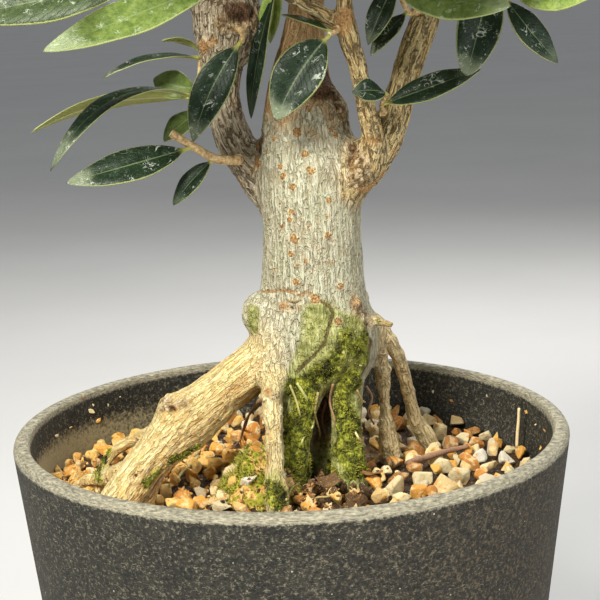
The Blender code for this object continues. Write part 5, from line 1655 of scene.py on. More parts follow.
shape_rng = random.Random(23)
stone_shapes = [stone_shape(shape_rng) for _ in range(STONE_SHAPES)]
chip_shapes = [stone_shape(shape_rng, False) for _ in range(STONE_SHAPES)]
print("a stone has about", round(sum(len(faces) for _, faces in stone_shapes) / STONE_SHAPES), "faces")

# %% Drop the stones
STONE_TRIES = 2000
PLACES_PER_STONE = 22
STONE_SIZES = (2.3, 5.0, 3.5)
CONTACT = 0.84
STONE_PROUD = 1.5
WALL_ROOM = 0.75
ROOT_ROOM = 0.8
SMALL_LEFT = 0.86
GRIT_SEED = 5

root_lines = [smooth(rows, 3) for rows in (TRUNK[:6], *ROOTS.values(), *FILLERS.values())]
root_starts = np.vstack([line[:-1] for line in root_lines])
root_ends = np.vstack([line[1:] for line in root_lines])


def root_gap(points):
    """How far each point is from the nearest root's bark."""
    starts, spans = root_starts[:, :3], root_ends[:, :3] - root_starts[:, :3]
    reach = points[:, None, :] - starts[None, :, :]
    t = np.clip((reach * spans).sum(axis=2) / (spans**2).sum(axis=1), 0.0, 1.0)
    radius = root_starts[:, 3] + (root_ends[:, 3] - root_starts[:, 3]) * t
    return (np.linalg.norm(reach - spans * t[:, :, None], axis=2) - radius).min(axis=1)


def stone_size(rng, x, y):
    size = rng.triangular(*STONE_SIZES)
    near_trunk = math.exp(-((math.hypot(x - 8.0, y + 16.0) / 12.0) ** 2))
    heaped = 0.4 * float(in_heap(x, y) > 0.1)
    return size * (SMALL_LEFT if x < -25.0 else 1.0) * (1.0 - max(0.42 * near_trunk, heaped))


def drop_stones(rng):
    """Places of the stones, as rows of x, y, z and radius."""
    placed = np.zeros((0, 4))
    for _ in range(STONE_TRIES):
        reach = inner_radius(GRIT_LEVEL) * np.sqrt([rng.random() for _ in range(PLACES_PER_STONE)])
        turn = np.array([rng.uniform(0.0, 2 * math.pi) for _ in range(PLACES_PER_STONE)])
        x, y = reach * np.cos(turn), reach * np.sin(turn)
        radius = stone_size(rng, x[0], y[0])
        level = grit_height(x, y)
        z = level - BED_DEPTH + 0.6 * radius
        if len(placed):
            away2 = (x[:, None] - placed[:, 0]) ** 2 + (y[:, None] - placed[:, 1]) ** 2
            touch = (radius + placed[:, 3]) * CONTACT
            rise = np.sqrt(np.clip(touch**2 - away2, 0.0, None))
            z = np.maximum(z, np.where(away2 < touch**2, placed[:, 2] + rise, -1e9).max(axis=1))
        sunk = z - level
        sunk[reach > inner_radius(GRIT_LEVEL) - radius * WALL_ROOM] = 1e9
        spots = np.column_stack([x, y, z])
        sunk[root_gap(spots) < radius * ROOT_ROOM] = 1e9
        best = int(sunk.argmin())
        if sunk[best] + 0.7 * radius < STONE_PROUD:
            placed = np.vstack([placed, (*spots[best], radius)])
    return placed


stones = drop_stones(random.Random(GRIT_SEED))
print(len(stones), "stones, the highest top at", round((stones[:, 2] + stones[:, 3]).max(), 1), "mm")

# %% Turn them into pieces
TOP_LAYER = 2.6


def turned_by(rng):
    """A random turn, as a 3 by 3 table."""
    one = unit([rng.gauss(0.0, 1.0) for _ in range(3)])
    other = unit(np.cross(one, [rng.gauss(0.0, 1.0) for _ in range(3)]))
    return np.column_stack([one, other, np.cross(one, other)])


def scattered(rows, shapes, rng, tints, flatter=1.0):
    """Copies of the shapes at rows of (x, y, z, radius), each turned and stretched anew."""
    parts = []
    for (x, y, z, radius), tint in zip(rows, tints):
        points, faces = shapes[rng.randrange(len(shapes))]
        stretch = np.array([rng.uniform(0.85, 1.2), rng.uniform(0.85, 1.12), rng.uniform(0.8, 1.05) * flatter])
        moved = (points * stretch) @ turned_by(rng).T * radius + (x, y, z)
        shade = np.full(len(points), tint)
        seed = np.full(len(points), rng.random())
        parts.append((moved, faces, {"tint": shade, "seed": seed}))
    return joined(parts)


def stone_tint(rng, x, y):
    """Where on the palette a stone's colour lies: more orange on the left, browner round the roots."""
    near_trunk = math.exp(-((math.hypot(x - 8.0, y + 18.0) / 12.0) ** 2))
    if rng.random() < 0.7 * near_trunk:
        return rng.uniform(0.02, 0.2)
    if x < -22.0 and rng.random() < 0.6:
        return rng.uniform(0.36, 0.62)
    return rng.uniform(0.2, 1.0)


stone_rng = random.Random(31)
tints = np.array([stone_tint(stone_rng, x, y) for x, y, _, _ in stones])
depth = grit_height(stones[:, 0], stones[:, 1]) - stones[:, 2]
on_top = depth < TOP_LAYER
grit = Finish("orange_grit", Specular_IOR_Level=0.22)
top_points, top_faces, top_rows = scattered(stones[on_top], stone_shapes, stone_rng, tints[on_top])
low_points, low_faces, low_rows = scattered(stones[~on_top], chip_shapes, stone_rng, tints[~on_top])
top_stones = piece("grit_stones", top_points, top_faces, [grit.material], smooth_faces=False, **top_rows)
low_stones = piece("grit_stones_below", low_points, low_faces, [grit.material], smooth_faces=False, **low_rows)

print("top layer:", int(on_top.sum()), "stones and", len(top_faces), "faces; below:", len(low_faces), "faces")

# %% The bed under the stones
BED_RINGS = 40
BED_SIDES = 120
MESH_DISC_RADIUS = 46.0
MESH_TOP = FLOOR + 2 * SEAT_GAP + 1.0

low = FLOOR + SEAT_GAP
bed_profile = [(radius, 0.0) for radius in np.linspace(1.5, inner_radius(GRIT_LEVEL) - SEAT_GAP, BED_RINGS)]
bed_profile += [
    (inner_radius(low + 3.0) - SEAT_GAP, low + 3.0), (inner_radius(FLOOR) - 3.4, low),
    (MESH_DISC_RADIUS + SEAT_GAP, low), (MESH_DISC_RADIUS + SEAT_GAP, MESH_TOP), (2.0, MESH_TOP),
]
bed_points, bed_faces = turned(bed_profile, BED_SIDES)
upper = slice(0, 1 + BED_RINGS * BED_SIDES)
bed_top = grit_height(bed_points[upper, 0], bed_points[upper, 1]) - BED_DEPTH
bed_points[upper, 2] = bed_top + 0.9 * wander(bed_points[upper], 2.6)
# The bed is painted near black, as the shade in the gaps between the stones.
bed_shade_rows = {"tint": np.full(len(bed_points), 0.03), "seed": np.zeros(len(bed_points))}
bed = piece("grit_bed_painted_shade", bed_points, bed_faces, [grit.material], **bed_shade_rows)
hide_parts("soil")
ground = BVHTree.FromPolygons(*[list(rows) for rows in joined([
    (top_points, top_faces, {}), (low_points, low_faces, {}), (bed_points, bed_faces, {}),
])[:2]])
print("bed:", len(bed_faces), "faces")

# %% [markdown]
# Round the foot of the trunk the grit is finer and browner: crumbs of old soil, bits of bark and dead leaf. They are
# small chips that lie where a line straight down meets the stones. A few thin curled scraps, a dry stalk, a broken
# twig and some dry flecks on the pot's wall are laid where the photograph has them.

# %% Crumbs and scraps
CRUMBS = 1500
CRUMB_SIZES = (0.35, 1.25, 0.6)
SCRAPS = [
    (340, 468, 3.6, 0.15), (352, 480, 4.4, 0.17), (328, 484, 3.0, 0.14), (366, 458, 3.4, 0.16), (372, 476, 2.8, 0.18),
    (316, 494, 2.4, 0.16), (384, 446, 3.0, 0.14),
]
WALL_FLECKS = [
    (91, 411, 1.5, 0.8), (97, 420, 1.4, 0.42), (93, 405, 1.0, 0.84), (56, 436, 1.2, 0.84), (70, 428, 0.9, 0.6),
    (108, 405, 0.8, 0.84), (452, 401, 1.2, 0.3), (433, 392, 0.7, 1.0), (527, 412, 1.1, 0.5), (545, 431, 1.5, 0.36),
    (541, 448, 1.2, 0.5), (83, 397, 0.8, 0.3), (120, 396, 0.7, 0.9), (536, 424, 0.8, 0.84), (487, 396, 0.7, 0.9),
]


def resting(x, y):
    """The height at which something lies on the grit."""
    hit = ground.ray_cast(Vector((x, y, POT_HEIGHT + 30.0)), Vector((0.0, 0.0, -1.0)))[0]
    return GRIT_LEVEL if hit is None else hit[2]


def scrap(at, size, tint, rng):
    """A thin curled flake with a ragged outline, lying at a slant."""
    columns = 9
    grid = np.linspace(-1.0, 1.0, columns)
    u, v = (rows.ravel() for rows in np.meshgrid(grid, grid))
    reach = np.maximum(np.abs(u), np.abs(v))
    border_places = np.column_stack([u, v, 0 * u]) / np.maximum(reach, 0.01)[:, None]
    edge = 1.0 + 0.2 * wander(border_places, 1.1, size)
    x, y = u * edge, v * edge * rng.uniform(0.5, 0.8)
    z = rng.uniform(0.2, 0.45) * x**2 + 0.16 * wander(np.column_stack([x, y, 0 * x]), 0.6, tint * 30)
    sheet = np.column_stack([x, y, z]) * size
    lift = np.column_stack([0 * x, 0 * y, np.where(reach > 0.99, 0.06, 0.24)])
    points = np.vstack([sheet + lift, sheet - lift])
    count = columns * columns
    faces = []
    for i in range(columns - 1):
        for j in range(columns - 1):
            a = i * columns + j
            faces.append((a, a + 1, a + columns + 1, a + columns))
            faces.append((a + count, a + count + columns, a + count + columns + 1, a + count + 1))
    border = [i * columns for i in range(columns)] + [count - columns + j for j in range(1, columns)]
    border += [i * columns + columns - 1 for i in range(columns - 2, -1, -1)] + list(range(columns - 2, 0, -1))
    for a, b in zip(border, border[1:] + border[:1]):
        faces.append((a, b, b + count, a + count))
    lean = Matrix.Rotation(rng.uniform(-0.5, 0.5), 3, "X") @ Matrix.Rotation(rng.uniform(0.0, 6.28), 3, "Z")
    points = points @ np.array(lean).T + at
    return points, faces, {"tint": np.full(len(points), tint), "seed": np.full(len(points), rng.random())}


crumb_rng = random.Random(41)
crumb_rows, crumb_tints = [], []
while len(crumb_rows) < CRUMBS:
    if crumb_rng.random() < 0.5:
        x, y = crumb_rng.gauss(7.0, 10.0), crumb_rng.gauss(-21.0, 8.0)
        tint = crumb_rng.choice((0.03, 0.08, 0.12, 0.14, 0.16, 0.18, 0.2, 0.7))
    else:
        x, y = crumb_rng.gauss(-52.0, 16.0), crumb_rng.gauss(-4.0, 22.0)
        tint = crumb_rng.uniform(0.36, 0.68)
    radius = crumb_rng.triangular(*CRUMB_SIZES)
    if math.hypot(x, y) > inner_radius(GRIT_LEVEL) - radius - 0.3:
        continue
    spot = np.array((x, y, resting(x, y) + 0.25 * radius))
    if root_gap(spot[None, :])[0] > 0.1 and spot[2] < GRIT_LEVEL + MOUND_HEIGHT + 4.0:
        crumb_rows.append((*spot, radius))
        crumb_tints.append(tint)
crumb_points, crumb_faces, crumb_attributes = scattered(crumb_rows, chip_shapes, crumb_rng, crumb_tints)
parts = [(crumb_points, crumb_faces, crumb_attributes)]
for px, py, size, tint in SCRAPS:
    hit = ground.ray_cast(Vector(EYE), Vector(sight(px, py)))[0]
    parts.append(scrap(np.array(hit) + (0.0, 0.0, 0.25 * size), size, tint, crumb_rng))
wall_points, _ = points_of(pot)
pot_wall = BVHTree.FromPolygons(wall_points.tolist(), [tuple(face.vertices) for face in pot.data.polygons])
flecks = []
for px, py, size, tint in WALL_FLECKS:
    hit = pot_wall.ray_cast(Vector(EYE), Vector(sight(px, py)))[0]
    flecks.append((np.array(hit), size, tint))
for place, size, tint in flecks:
    parts.append(scattered([(*place, size)], chip_shapes, crumb_rng, [tint], 0.7))
crumb_points, crumb_faces, crumb_attributes = joined(parts)
crumbs = piece(
    "crumbs_and_scraps", crumb_points, crumb_faces, [grit.material], smooth_faces=False, **crumb_attributes,
)
for part in (top_stones, low_stones, bed, crumbs):
    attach(part, "root")
print("crumbs and scraps:", len(crumb_faces), "faces")

# %% Finish of the grit
flat = grit.place()
from_seed = {0: flat, 1: grit.times(grit.read("seed"), 90.0)}
shifted = grit.node("ShaderNodeVectorMath", from_seed, operation="ADD").outputs[0]
stone_tone = grit.ramp(
    grit.read("tint"), (0.0, (0.035, 0.020, 0.011)), (0.16, (0.20, 0.11, 0.045)), (0.28, (0.62, 0.25, 0.05)),
    (0.42, (0.90, 0.45, 0.085)), (0.58, (0.97, 0.64, 0.18)), (0.70, (0.80, 0.56, 0.25)), (0.82, (0.97, 0.83, 0.47)),
    (0.92, (0.72, 0.60, 0.38)), (1.0, (0.95, 0.91, 0.76)),
)
pale_patch = grit.span(grit.noise(shifted, 0.34, 3.0, 0.6), 0.50, 0.64, 0.0, 0.65)
rust_patch = grit.span(grit.noise(shifted, 0.45, 3.0, 0.6, 0.5), 0.53, 0.66, 0.0, 0.7)
not_soil = grit.span(grit.read("tint"), 0.1, 0.3)
stone_tone = grit.mix(grit.times(pale_patch, not_soil), stone_tone, (0.98, 0.84, 0.47))
stone_tone = grit.mix(grit.times(rust_patch, not_soil), stone_tone, (0.76, 0.33, 0.05))
pores = grit.noise(flat, 1.2, 5.0, 0.78)
stone_tone = grit.mix(grit.span(pores, 0.42, 0.30, 0.0, 0.7), stone_tone, (0.36, 0.15, 0.03))
# The raised grain of each stone is painted near white: partly the stone's own pale flecks, partly a painted highlight.
stone_tone = grit.mix(grit.span(pores, 0.57, 0.68, 0.0, 0.55), stone_tone, (1.0, 0.92, 0.66))
grit.bump(pores, 1.0)
grit.paint(stone_tone, grit.span(pores, 0.3, 0.7, 0.9, 0.65))
print("grit finished")

# %% [markdown]
# ## Moss and thin roots
#
# Moss is what makes old roots look old. The green on the bark is only colour, so short tapering blades are set on it,
# thickest where the moss is deepest, and a low mossy mound fills the angle between the big root and the front one.
# Thin roots hang and creep over the flare. Each is noted as the pixels it passes in the photograph, and lies just in
# front of what the camera sees there.

# %% Moss mound and moss blades
MOUND_RINGS = 28
MOUND_SIDES = 84
MOUND_OVER = -0.9
WOOD_BLADES = 4200
MOUND_BLADES = 2400
MOSS_SEED = 61

mound_profile = [(share, 0.0) for share in np.linspace(0.04, 1.0, MOUND_RINGS)] + [(0.9, -1.0), (0.3, -1.0)]
mound_points, mound_faces = turned(mound_profile, MOUND_SIDES)
away = np.hypot(mound_points[:, 0], mound_points[:, 1])
below = mound_points[:, 2] < -0.5
mound_points[:, 0] = HEAP_CENTRE[0] + mound_points[:, 0] * HEAP_REACH[0]
mound_points[:, 1] = HEAP_CENTRE[1] + mound_points[:, 1] * HEAP_REACH[1]
lumps = 3.0 * wander(mound_points, 4.6, 3.0) + 1.6 * wander(mound_points, 2.2, 6.0)
mound_level = grit_height(mound_points[:, 0], mound_points[:, 1])
cover = MOUND_OVER + lumps - 3.0 * away**4
mound_points[:, 2] = mound_level + np.where(below, -4.5, cover)


def face_rows(points, faces):
    """Middle, outward way and size of each face."""
    corners = np.array([[points[face[0]], points[face[1]], points[face[2]]] for face in faces])
    normals = np.cross(corners[:, 1] - corners[:, 0], corners[:, 2] - corners[:, 0])
    size = np.linalg.norm(normals, axis=1)
    return corners.mean(axis=1), normals / np.maximum(size, 1e-9)[:, None], size


def moss_blades(places, ways, lengths, widths, tints, rng):
    """Curved spikes with three sides, one at each place."""
    count = len(places)
    side = unit_rows(np.cross(ways, rng.normal(size=(count, 3))))
    other = np.cross(ways, side)
    lean = rng.normal(size=(count, 3)) * 0.35 + (0.0, 0.0, 0.25)
    middle = places + ways * (0.5 * lengths)[:, None]
    tip = middle + unit_rows(ways + lean) * (0.55 * lengths)[:, None]
    rings = []
    for centre_row, share in ((places - ways * 0.3, 1.0), (middle, 0.75)):
        for turn in (0.0, 2.094, 4.189):
            rings.append(centre_row + (side * math.cos(turn) + other * math.sin(turn)) * (widths * share)[:, None])
    points = np.stack([*rings, tip], axis=1).reshape(-1, 3)
    pattern = [(2, 1, 0), (0, 1, 4, 3), (1, 2, 5, 4), (2, 0, 3, 5), (3, 4, 6), (4, 5, 6), (5, 3, 6)]
    faces = [[7 * k + i for i in face] for k in range(count) for face in pattern]
    return points, faces, {"tint": np.repeat(tints, 7), "tip": np.tile([0, 0, 0, 0.5, 0.5, 0.5, 1.0], count)}


def picked(weights, count, rng):
    return rng.choice(len(weights), size=count, p=weights / weights.sum())


moss_rng = np.random.default_rng(MOSS_SEED)
wood_tris = [tuple(face.vertices)[:3] for face in wood.data.polygons]
middles, outs, sizes_of_faces = face_rows(wood_points, wood_tris)
moss_there = moss[np.array(wood_tris)].mean(axis=1)
tufts = np.clip(wander(middles, 3.2, 4.0) + 0.12, 0.02, 0.6)
weights = sizes_of_faces * np.clip(moss_there - 0.42, 0.0, 0.6) * (middles[:, 2] > 104.0) * tufts
chosen = picked(weights, WOOD_BLADES, moss_rng)
depth_there = np.clip(moss_there[chosen], 0.4, 1.2)
wood_blades = moss_blades(
    middles[chosen] + moss_rng.normal(size=(WOOD_BLADES, 3)) * 0.12, outs[chosen],
    moss_rng.uniform(0.35, 1.1, WOOD_BLADES) * depth_there, moss_rng.uniform(0.08, 0.17, WOOD_BLADES),
    np.clip(0.5 + 1.1 * wander(middles[chosen], 4.5, 7.0) + moss_rng.normal(size=WOOD_BLADES) * 0.15, 0.0, 1.0),
    moss_rng,
)
middles, outs, sizes_of_faces = face_rows(mound_points, mound_faces)
weights = sizes_of_faces * (outs[:, 2] > 0.15) * np.clip(wander(middles, 5.0, 9.0) + 0.25, 0.03, 0.5)
chosen = picked(weights, MOUND_BLADES, moss_rng)
mound_blades = moss_blades(
    middles[chosen] + moss_rng.normal(size=(MOUND_BLADES, 3)) * 0.25, outs[chosen],
    moss_rng.uniform(0.5, 1.9, MOUND_BLADES), moss_rng.uniform(0.10, 0.22, MOUND_BLADES),
    moss_rng.uniform(0.35, 1.0, MOUND_BLADES), moss_rng,
)
mound_rows = {"tint": 0.7 + 0.3 * wander(mound_points, 4.0, 2.0), "tip": np.zeros(len(mound_points))}
moss_finish = Finish("moss", Specular_IOR_Level=0.2)
moss_flat = moss_finish.place()
moss_grain = moss_finish.noise(moss_flat, 0.9, 4.0, 0.7)
moss_tone = moss_finish.ramp(
    moss_finish.read("tint"), (0.0, (0.025, 0.030, 0.006)), (0.5, (0.17, 0.19, 0.016)), (1.0, (0.66, 0.62, 0.07)),
)
crumbly = moss_finish.noise(moss_flat, 0.42, 3.0, 0.6)
moss_tone = moss_finish.mix(moss_finish.span(moss_grain, 0.3, 0.6, 0.55, 0.0), moss_tone, (0.07, 0.045, 0.012))
on_ground = moss_finish.span(moss_finish.read("tip"), 0.05, 0.0)
ground_share = moss_finish.times(on_ground, moss_finish.span(crumbly, 0.50, 0.56))
ground_tone = moss_finish.ramp(
    moss_grain, (0.35, (0.22, 0.11, 0.03)), (0.5, (0.62, 0.36, 0.10)), (0.65, (0.86, 0.62, 0.24)),
)
moss_tone = moss_finish.mix(ground_share, moss_tone, ground_tone)
moss_tone = moss_finish.mix(moss_finish.times(moss_finish.read("tip"), 0.35), moss_tone, (0.62, 0.60, 0.15))
moss_finish.bump(moss_grain, 0.8)
moss_finish.paint(moss_tone, 0.85)
moss_points, moss_faces, moss_rows = joined([(mound_points, mound_faces, mound_rows), wood_blades, mound_blades])
moss_piece = piece("moss", moss_points, moss_faces, [moss_finish.material], **moss_rows)
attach(moss_piece, "root")
print("moss:", len(moss_faces), "faces")

# %% Thin roots, stalk and twig
THREADS = [
    ([(297, 383), (305, 396), (311, 410), (313, 425), (307, 433), (302, 442), (303, 456)], 0.42, 0.7),
    ([(290, 385), (296, 400), (300, 415), (303, 430)], 0.34, 0.6),
    ([(340, 391), (352, 397), (365, 402)], 0.42, 0.8),
    ([(355, 432), (360, 440), (365, 446)], 0.38, 0.8),
    ([(198, 457), (190, 466), (181, 474), (176, 482)], 0.55, 0.55),
    ([(206, 449), (198, 458), (186, 462)], 0.35, 0.5),
    ([(268, 390), (262, 398), (254, 407)], 0.75, 0.35),
    ([(262, 400), (250, 413), (244, 430), (236, 446)], 0.40, 0.1),
    ([(258, 404), (246, 420), (240, 440), (228, 452)], 0.36, 0.1),
    ([(164, 475), (157, 484), (149, 498)], 0.55, 0.3),
    ([(322, 386), (326, 400), (322, 420), (328, 440)], 0.40, 0.2),
    ([(333, 384), (330, 402), (335, 424), (330, 446)], 0.34, 0.3),
    ([(318, 392), (315, 414), (320, 436), (314, 456)], 0.36, 0.5),
    ([(357, 390), (362, 402), (356, 416), (361, 428)], 0.32, 0.4),
    ([(366, 386), (372, 398), (368, 412), (374, 424)], 0.38, 0.3),
    ([(343, 352), (352, 362), (362, 366)], 0.42, 0.6),
    ([(281, 300), (290, 301), (301, 300)], 0.30, 0.4),
    ([(236, 465), (246, 474), (258, 478), (266, 490)], 0.40, 0.75),
    ([(286, 500), (292, 488), (300, 482)], 0.36, 0.6),
    ([(306, 508), (316, 498), (330, 496), (338, 488)], 0.34, 0.5),
]
STALK = [(69.0, 16.0, 117.0, 0.40), (68.8, 15.7, 113.0, 0.46), (68.4, 15.3, 109.0, 0.50), (68.2, 15.0, 105.0, 0.5)]
BROKEN_TWIG = [(408, 463), (424, 458), (440, 453), (456, 449), (468, 446)]
TWIG_THICK = 0.95

surface = BVHTree.FromPolygons(*[list(rows) for rows in joined([
    (wood_points, wood_tris, {}), (top_points, top_faces, {}), (bed_points, bed_faces, {}),
])[:2]])


def thread(path, radius, tint):
    """A thin root that lies just in front of what the camera sees behind the given pixels."""
    ways = [np.array(sight(px, py)) for px, py in path]
    hits = [surface.ray_cast(Vector(EYE), Vector(way))[3] for way in ways]
    reaches = np.array([440.0 if hit is None else hit for hit in hits])
    padded = np.concatenate([[reaches[0]], reaches, [reaches[-1]]])
    around = np.minimum((padded[:-2] + padded[2:]) / 2 + 2.0, np.maximum(padded[:-2], padded[2:]))
    reaches = np.minimum(reaches, around) - 0.6 * radius
    rows = [(*(EYE + way * reach), radius) for way, reach in zip(ways, reaches)]
    rows = smooth(rows, 6)
    rows[:, 3] *= np.linspace(1.1, 0.7, len(rows)) * (1.0 + 0.25 * wander(rows[:, :3], 1.4))
    points, faces = tube(rows, 7)
    return points, faces, {"tint": np.full(len(points), tint)}


stalk_points, stalk_faces = tube(smooth(STALK, 4), 9)
parts = [thread(path, radius, tint) for path, radius, tint in THREADS]
parts.append((stalk_points, stalk_faces, {"tint": np.full(len(stalk_points), 0.85)}))
parts.append(thread(BROKEN_TWIG, TWIG_THICK, 0.25))
thread_points, thread_faces, thread_rows = joined(parts)
root_skin = Finish("thin_roots", Specular_IOR_Level=0.25)
root_grain = root_skin.noise(root_skin.place(1.0, 1.0, 0.5), 1.6, 4.0, 0.65)
root_tone = root_skin.ramp(
    root_skin.read("tint"), (0.0, (0.10, 0.055, 0.03)), (0.25, (0.30, 0.17, 0.10)), (0.5, (0.42, 0.33, 0.13)),
    (0.7, (0.50, 0.52, 0.17)), (0.85, (0.78, 0.60, 0.33)), (1.0, (0.8, 0.76, 0.6)),
)
root_tone = root_skin.mix(root_skin.span(root_grain, 0.5, 0.3, 0.0, 0.7), root_tone, (0.12, 0.07, 0.03))
root_skin.bump(root_grain, 0.18)
root_skin.paint(root_tone, 0.75)
threads = piece("thin_roots", thread_points, thread_faces, [root_skin.material], **thread_rows)
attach(threads, "root")
print("thin roots:", len(THREADS))

# %% [markdown]
# ## Leaves
#
# An olive leaf is a stiff, leathery blade: dark and glossy above with a sunken midrib and a pale, slightly rolled
# margin, and matt and pale below with the rib standing proud. A card with a picture of a leaf would do from afar,
# but here the blades are near, so each is a closed thin solid. Its cross-section is worked out in rows across the
# leaf, from a round stalk to a shallow gutter, and each leaf gets its own sway, twist, roll and age.

# %% One blade, from stalk to tip
BLADE_THICKNESS = 0.46
STALK_RADIUS = 0.58
STALK_SHARE = 0.075
RIB = 0.5
LEAF_GRID = (16, 9)
NEAR_LEAF_GRID = (30, 13)
DEFAULT_LOOK = {
    "sway": 0.0, "twist": 0.0, "fold": 0.16, "roll": 0.10, "wave": 0.03, "tint": 0.15, "dust": 0.4, "pale": 0.25,
    "sharp": 0.80, "belly": 0.88,
}


def outline(t, look):
    """The share of the full width: 0 at the end of the stalk and at the tip, 1 at the belly."""
    u = np.clip((t - STALK_SHARE) / (1.0 - STALK_SHARE), 0.0, 1.0)
    return np.sin(np.pi * u ** look["belly"]) ** look["sharp"]


def fine_blade(leaf, look, grid):
    """Points, faces and attribute rows of one leaf. The first half of the faces is the upper side."""
    base, tip, width, face, arch = leaf
    stations, columns = grid
    t = np.linspace(0.0, 1.0, stations + 1)[:-1]
    t = t + 0.06 * np.sin(2 * np.pi * t) / (2 * np.pi)
    s = np.sin(np.linspace(-1.0, 1.0, columns) * np.pi / 2 * 0.98) / math.sin(np.pi / 2 * 0.98)
    chord = tip - base
    length = np.linalg.norm(chord)
    along = chord / length
    face = unit(face - along * (face @ along))
    aside = unit(np.cross(along, face))
    bow = 4 * t * (1 - t)
    line = base + chord * t[:, None] + face * (arch * bow)[:, None] + aside * (look["sway"] * length * bow)[:, None]
    ways = unit_rows(np.gradient(line, t, axis=0))
    across = unit_rows(np.cross(ways, face))
    up_face = np.cross(across, ways)
    turn = look["twist"] * (t - 0.35)
    cos, sin = np.cos(turn)[:, None], np.sin(turn)[:, None]
    across, up_face = across * cos + up_face * sin, up_face * cos - across * sin
    blade = ease(t, STALK_SHARE * 0.5, STALK_SHARE * 2.2)
    half = np.maximum(0.5 * width * outline(t, look), STALK_RADIUS * (1.0 - t))
    x = half[:, None] * s[None, :]
    round_stalk = STALK_RADIUS * np.sqrt(np.clip(1.0 - s**2, 0.0, 1.0))
    rim = np.clip(1.0 - np.abs(s) ** 10, 0.0, 1.0) ** 0.5
    gutter = look["fold"] * np.abs(x) - look["roll"] * half[:, None] * np.abs(s)[None, :] ** 5
    ripple = look["wave"] * half[:, None] * np.sin(t * 17.0 + look["tint"] * 40.0)[:, None] * s[None, :] ** 2
    sheet = gutter + ripple
    groove = 0.22 * np.exp(-((x / (0.7 * RIB)) ** 2)) * ease(1.0 - t, 0.0, 0.5)[:, None]
    rib = 0.34 * np.exp(-((x / RIB) ** 2)) * ease(1.0 - t, 0.0, 0.7)[:, None]
    b = blade[:, None]
    upper = (1 - b) * round_stalk + b * (sheet + BLADE_THICKNESS / 2 * rim - groove)
    lower = -(1 - b) * round_stalk + b * (sheet - (BLADE_THICKNESS / 2 + rib) * rim)
    top = line[:, None, :] + across[:, None, :] * x[:, :, None] + up_face[:, None, :] * upper[:, :, None]
    under = line[:, None, :] + across[:, None, :] * x[:, :, None] + up_face[:, None, :] * lower[:, :, None]
    count = stations * columns
    points = np.vstack([top.reshape(-1, 3), under[:, 1:-1].reshape(-1, 3), tip])
    top_at = np.arange(count).reshape(stations, columns)
    under_at = count + np.arange(stations * (columns - 2)).reshape(stations, columns - 2)
    under_at = np.column_stack([top_at[:, 0], under_at, top_at[:, -1]])
    end = len(points) - 1
    upper_faces, lower_faces = [], []
    for i in range(stations - 1):
        for j in range(columns - 1):
            upper_faces.append((top_at[i, j], top_at[i, j + 1], top_at[i + 1, j + 1], top_at[i + 1, j]))
            lower_faces.append((under_at[i, j], under_at[i + 1, j], under_at[i + 1, j + 1], under_at[i, j + 1]))
    for j in range(columns - 1):
        upper_faces.append((top_at[-1, j], top_at[-1, j + 1], end))
        lower_faces.append((under_at[-1, j + 1], under_at[-1, j], end))
    lower_faces.append((*top_at[0][::-1], *under_at[0, 1:-1]))
    side_rows = np.concatenate([np.tile(s, stations), np.tile(s[1:-1], stations), [0.0]])
    along_rows = np.concatenate([np.repeat(t, columns), np.repeat(t, columns - 2), [1.0]])
    rows = {"side": side_rows, "along": along_rows}
    for key in ("tint", "dust", "pale"):
        rows[key] = np.full(len(points), look[key])
    return points, upper_faces + lower_faces, rows, len(upper_faces)


_, blade_faces, _, upper_count = fine_blade(crown.shoots[0][2][0], DEFAULT_LOOK, LEAF_GRID)
print("one blade has", len(blade_faces), "faces,", upper_count, "of them on the upper side")

# %% [markdown]
# The upper side is dark green with a fine pale midrib and faint side veins, and carries whitish grains and rings left
# by hard water, more of them towards the tip. Its margin is pale yellow-green. The gloss is uneven, because the
# mineral film dulls it. The underside is a matt silvery olive.

# %% Finishes of leaf and twig
leaf_top = Finish("leaf_upper", Specular_IOR_Level=0.22)
flat = leaf_top.place()
side, along_leaf = leaf_top.read("side"), leaf_top.read("along")
tint, dust, pale = leaf_top.read("tint"), leaf_top.read("dust"), leaf_top.read("pale")
from_rib = leaf_top.math("ABSOLUTE", side)
grain_of_leaf = leaf_top.noise(flat, 0.55, 4.0, 0.6)
fine = leaf_top.noise(flat, 2.2, 3.0, 0.65)
dark_tone = leaf_top.ramp(grain_of_leaf, (0.3, (0.004, 0.011, 0.005)), (0.7, (0.014, 0.032, 0.012)))
fresh_tone = leaf_top.ramp(grain_of_leaf, (0.3, (0.16, 0.26, 0.04)), (0.7, (0.42, 0.54, 0.13)))
tone = leaf_top.mix(leaf_top.span(tint, 0.08, 0.75), dark_tone, fresh_tone)
vein_phase = leaf_top.plus(leaf_top.times(along_leaf, 16.0), leaf_top.times(from_rib, -3.6))
vein_phase = leaf_top.plus(vein_phase, leaf_top.times(grain_of_leaf, 1.2))
from_vein = leaf_top.math("ABSOLUTE", leaf_top.math("SUBTRACT", leaf_top.math("FRACT", vein_phase), 0.5))
veins = leaf_top.span(from_vein, 0.10, 0.0)
tone = leaf_top.mix(leaf_top.times(veins, 0.14), tone, (0.06, 0.10, 0.04))
mottled = leaf_top.noise(flat, 0.30, 4.0, 0.7)
film = leaf_top.times(leaf_top.span(mottled, 0.52, 0.66), leaf_top.span(fine, 0.40, 0.60), dust)
tone = leaf_top.mix(leaf_top.times(film, 0.18), tone, (0.26, 0.34, 0.26))
tip_ward = leaf_top.plus(leaf_top.span(along_leaf, 0.5, 1.0), leaf_top.times(mottled, 0.6), -0.3)
pale_end = leaf_top.times(leaf_top.span(tip_ward, 0.5, 0.95), pale)
tone = leaf_top.mix(leaf_top.times(pale_end, 0.7), tone, (0.42, 0.48, 0.30))
rib_width = leaf_top.span(along_leaf, 0.0, 1.0, 0.07, 0.022)
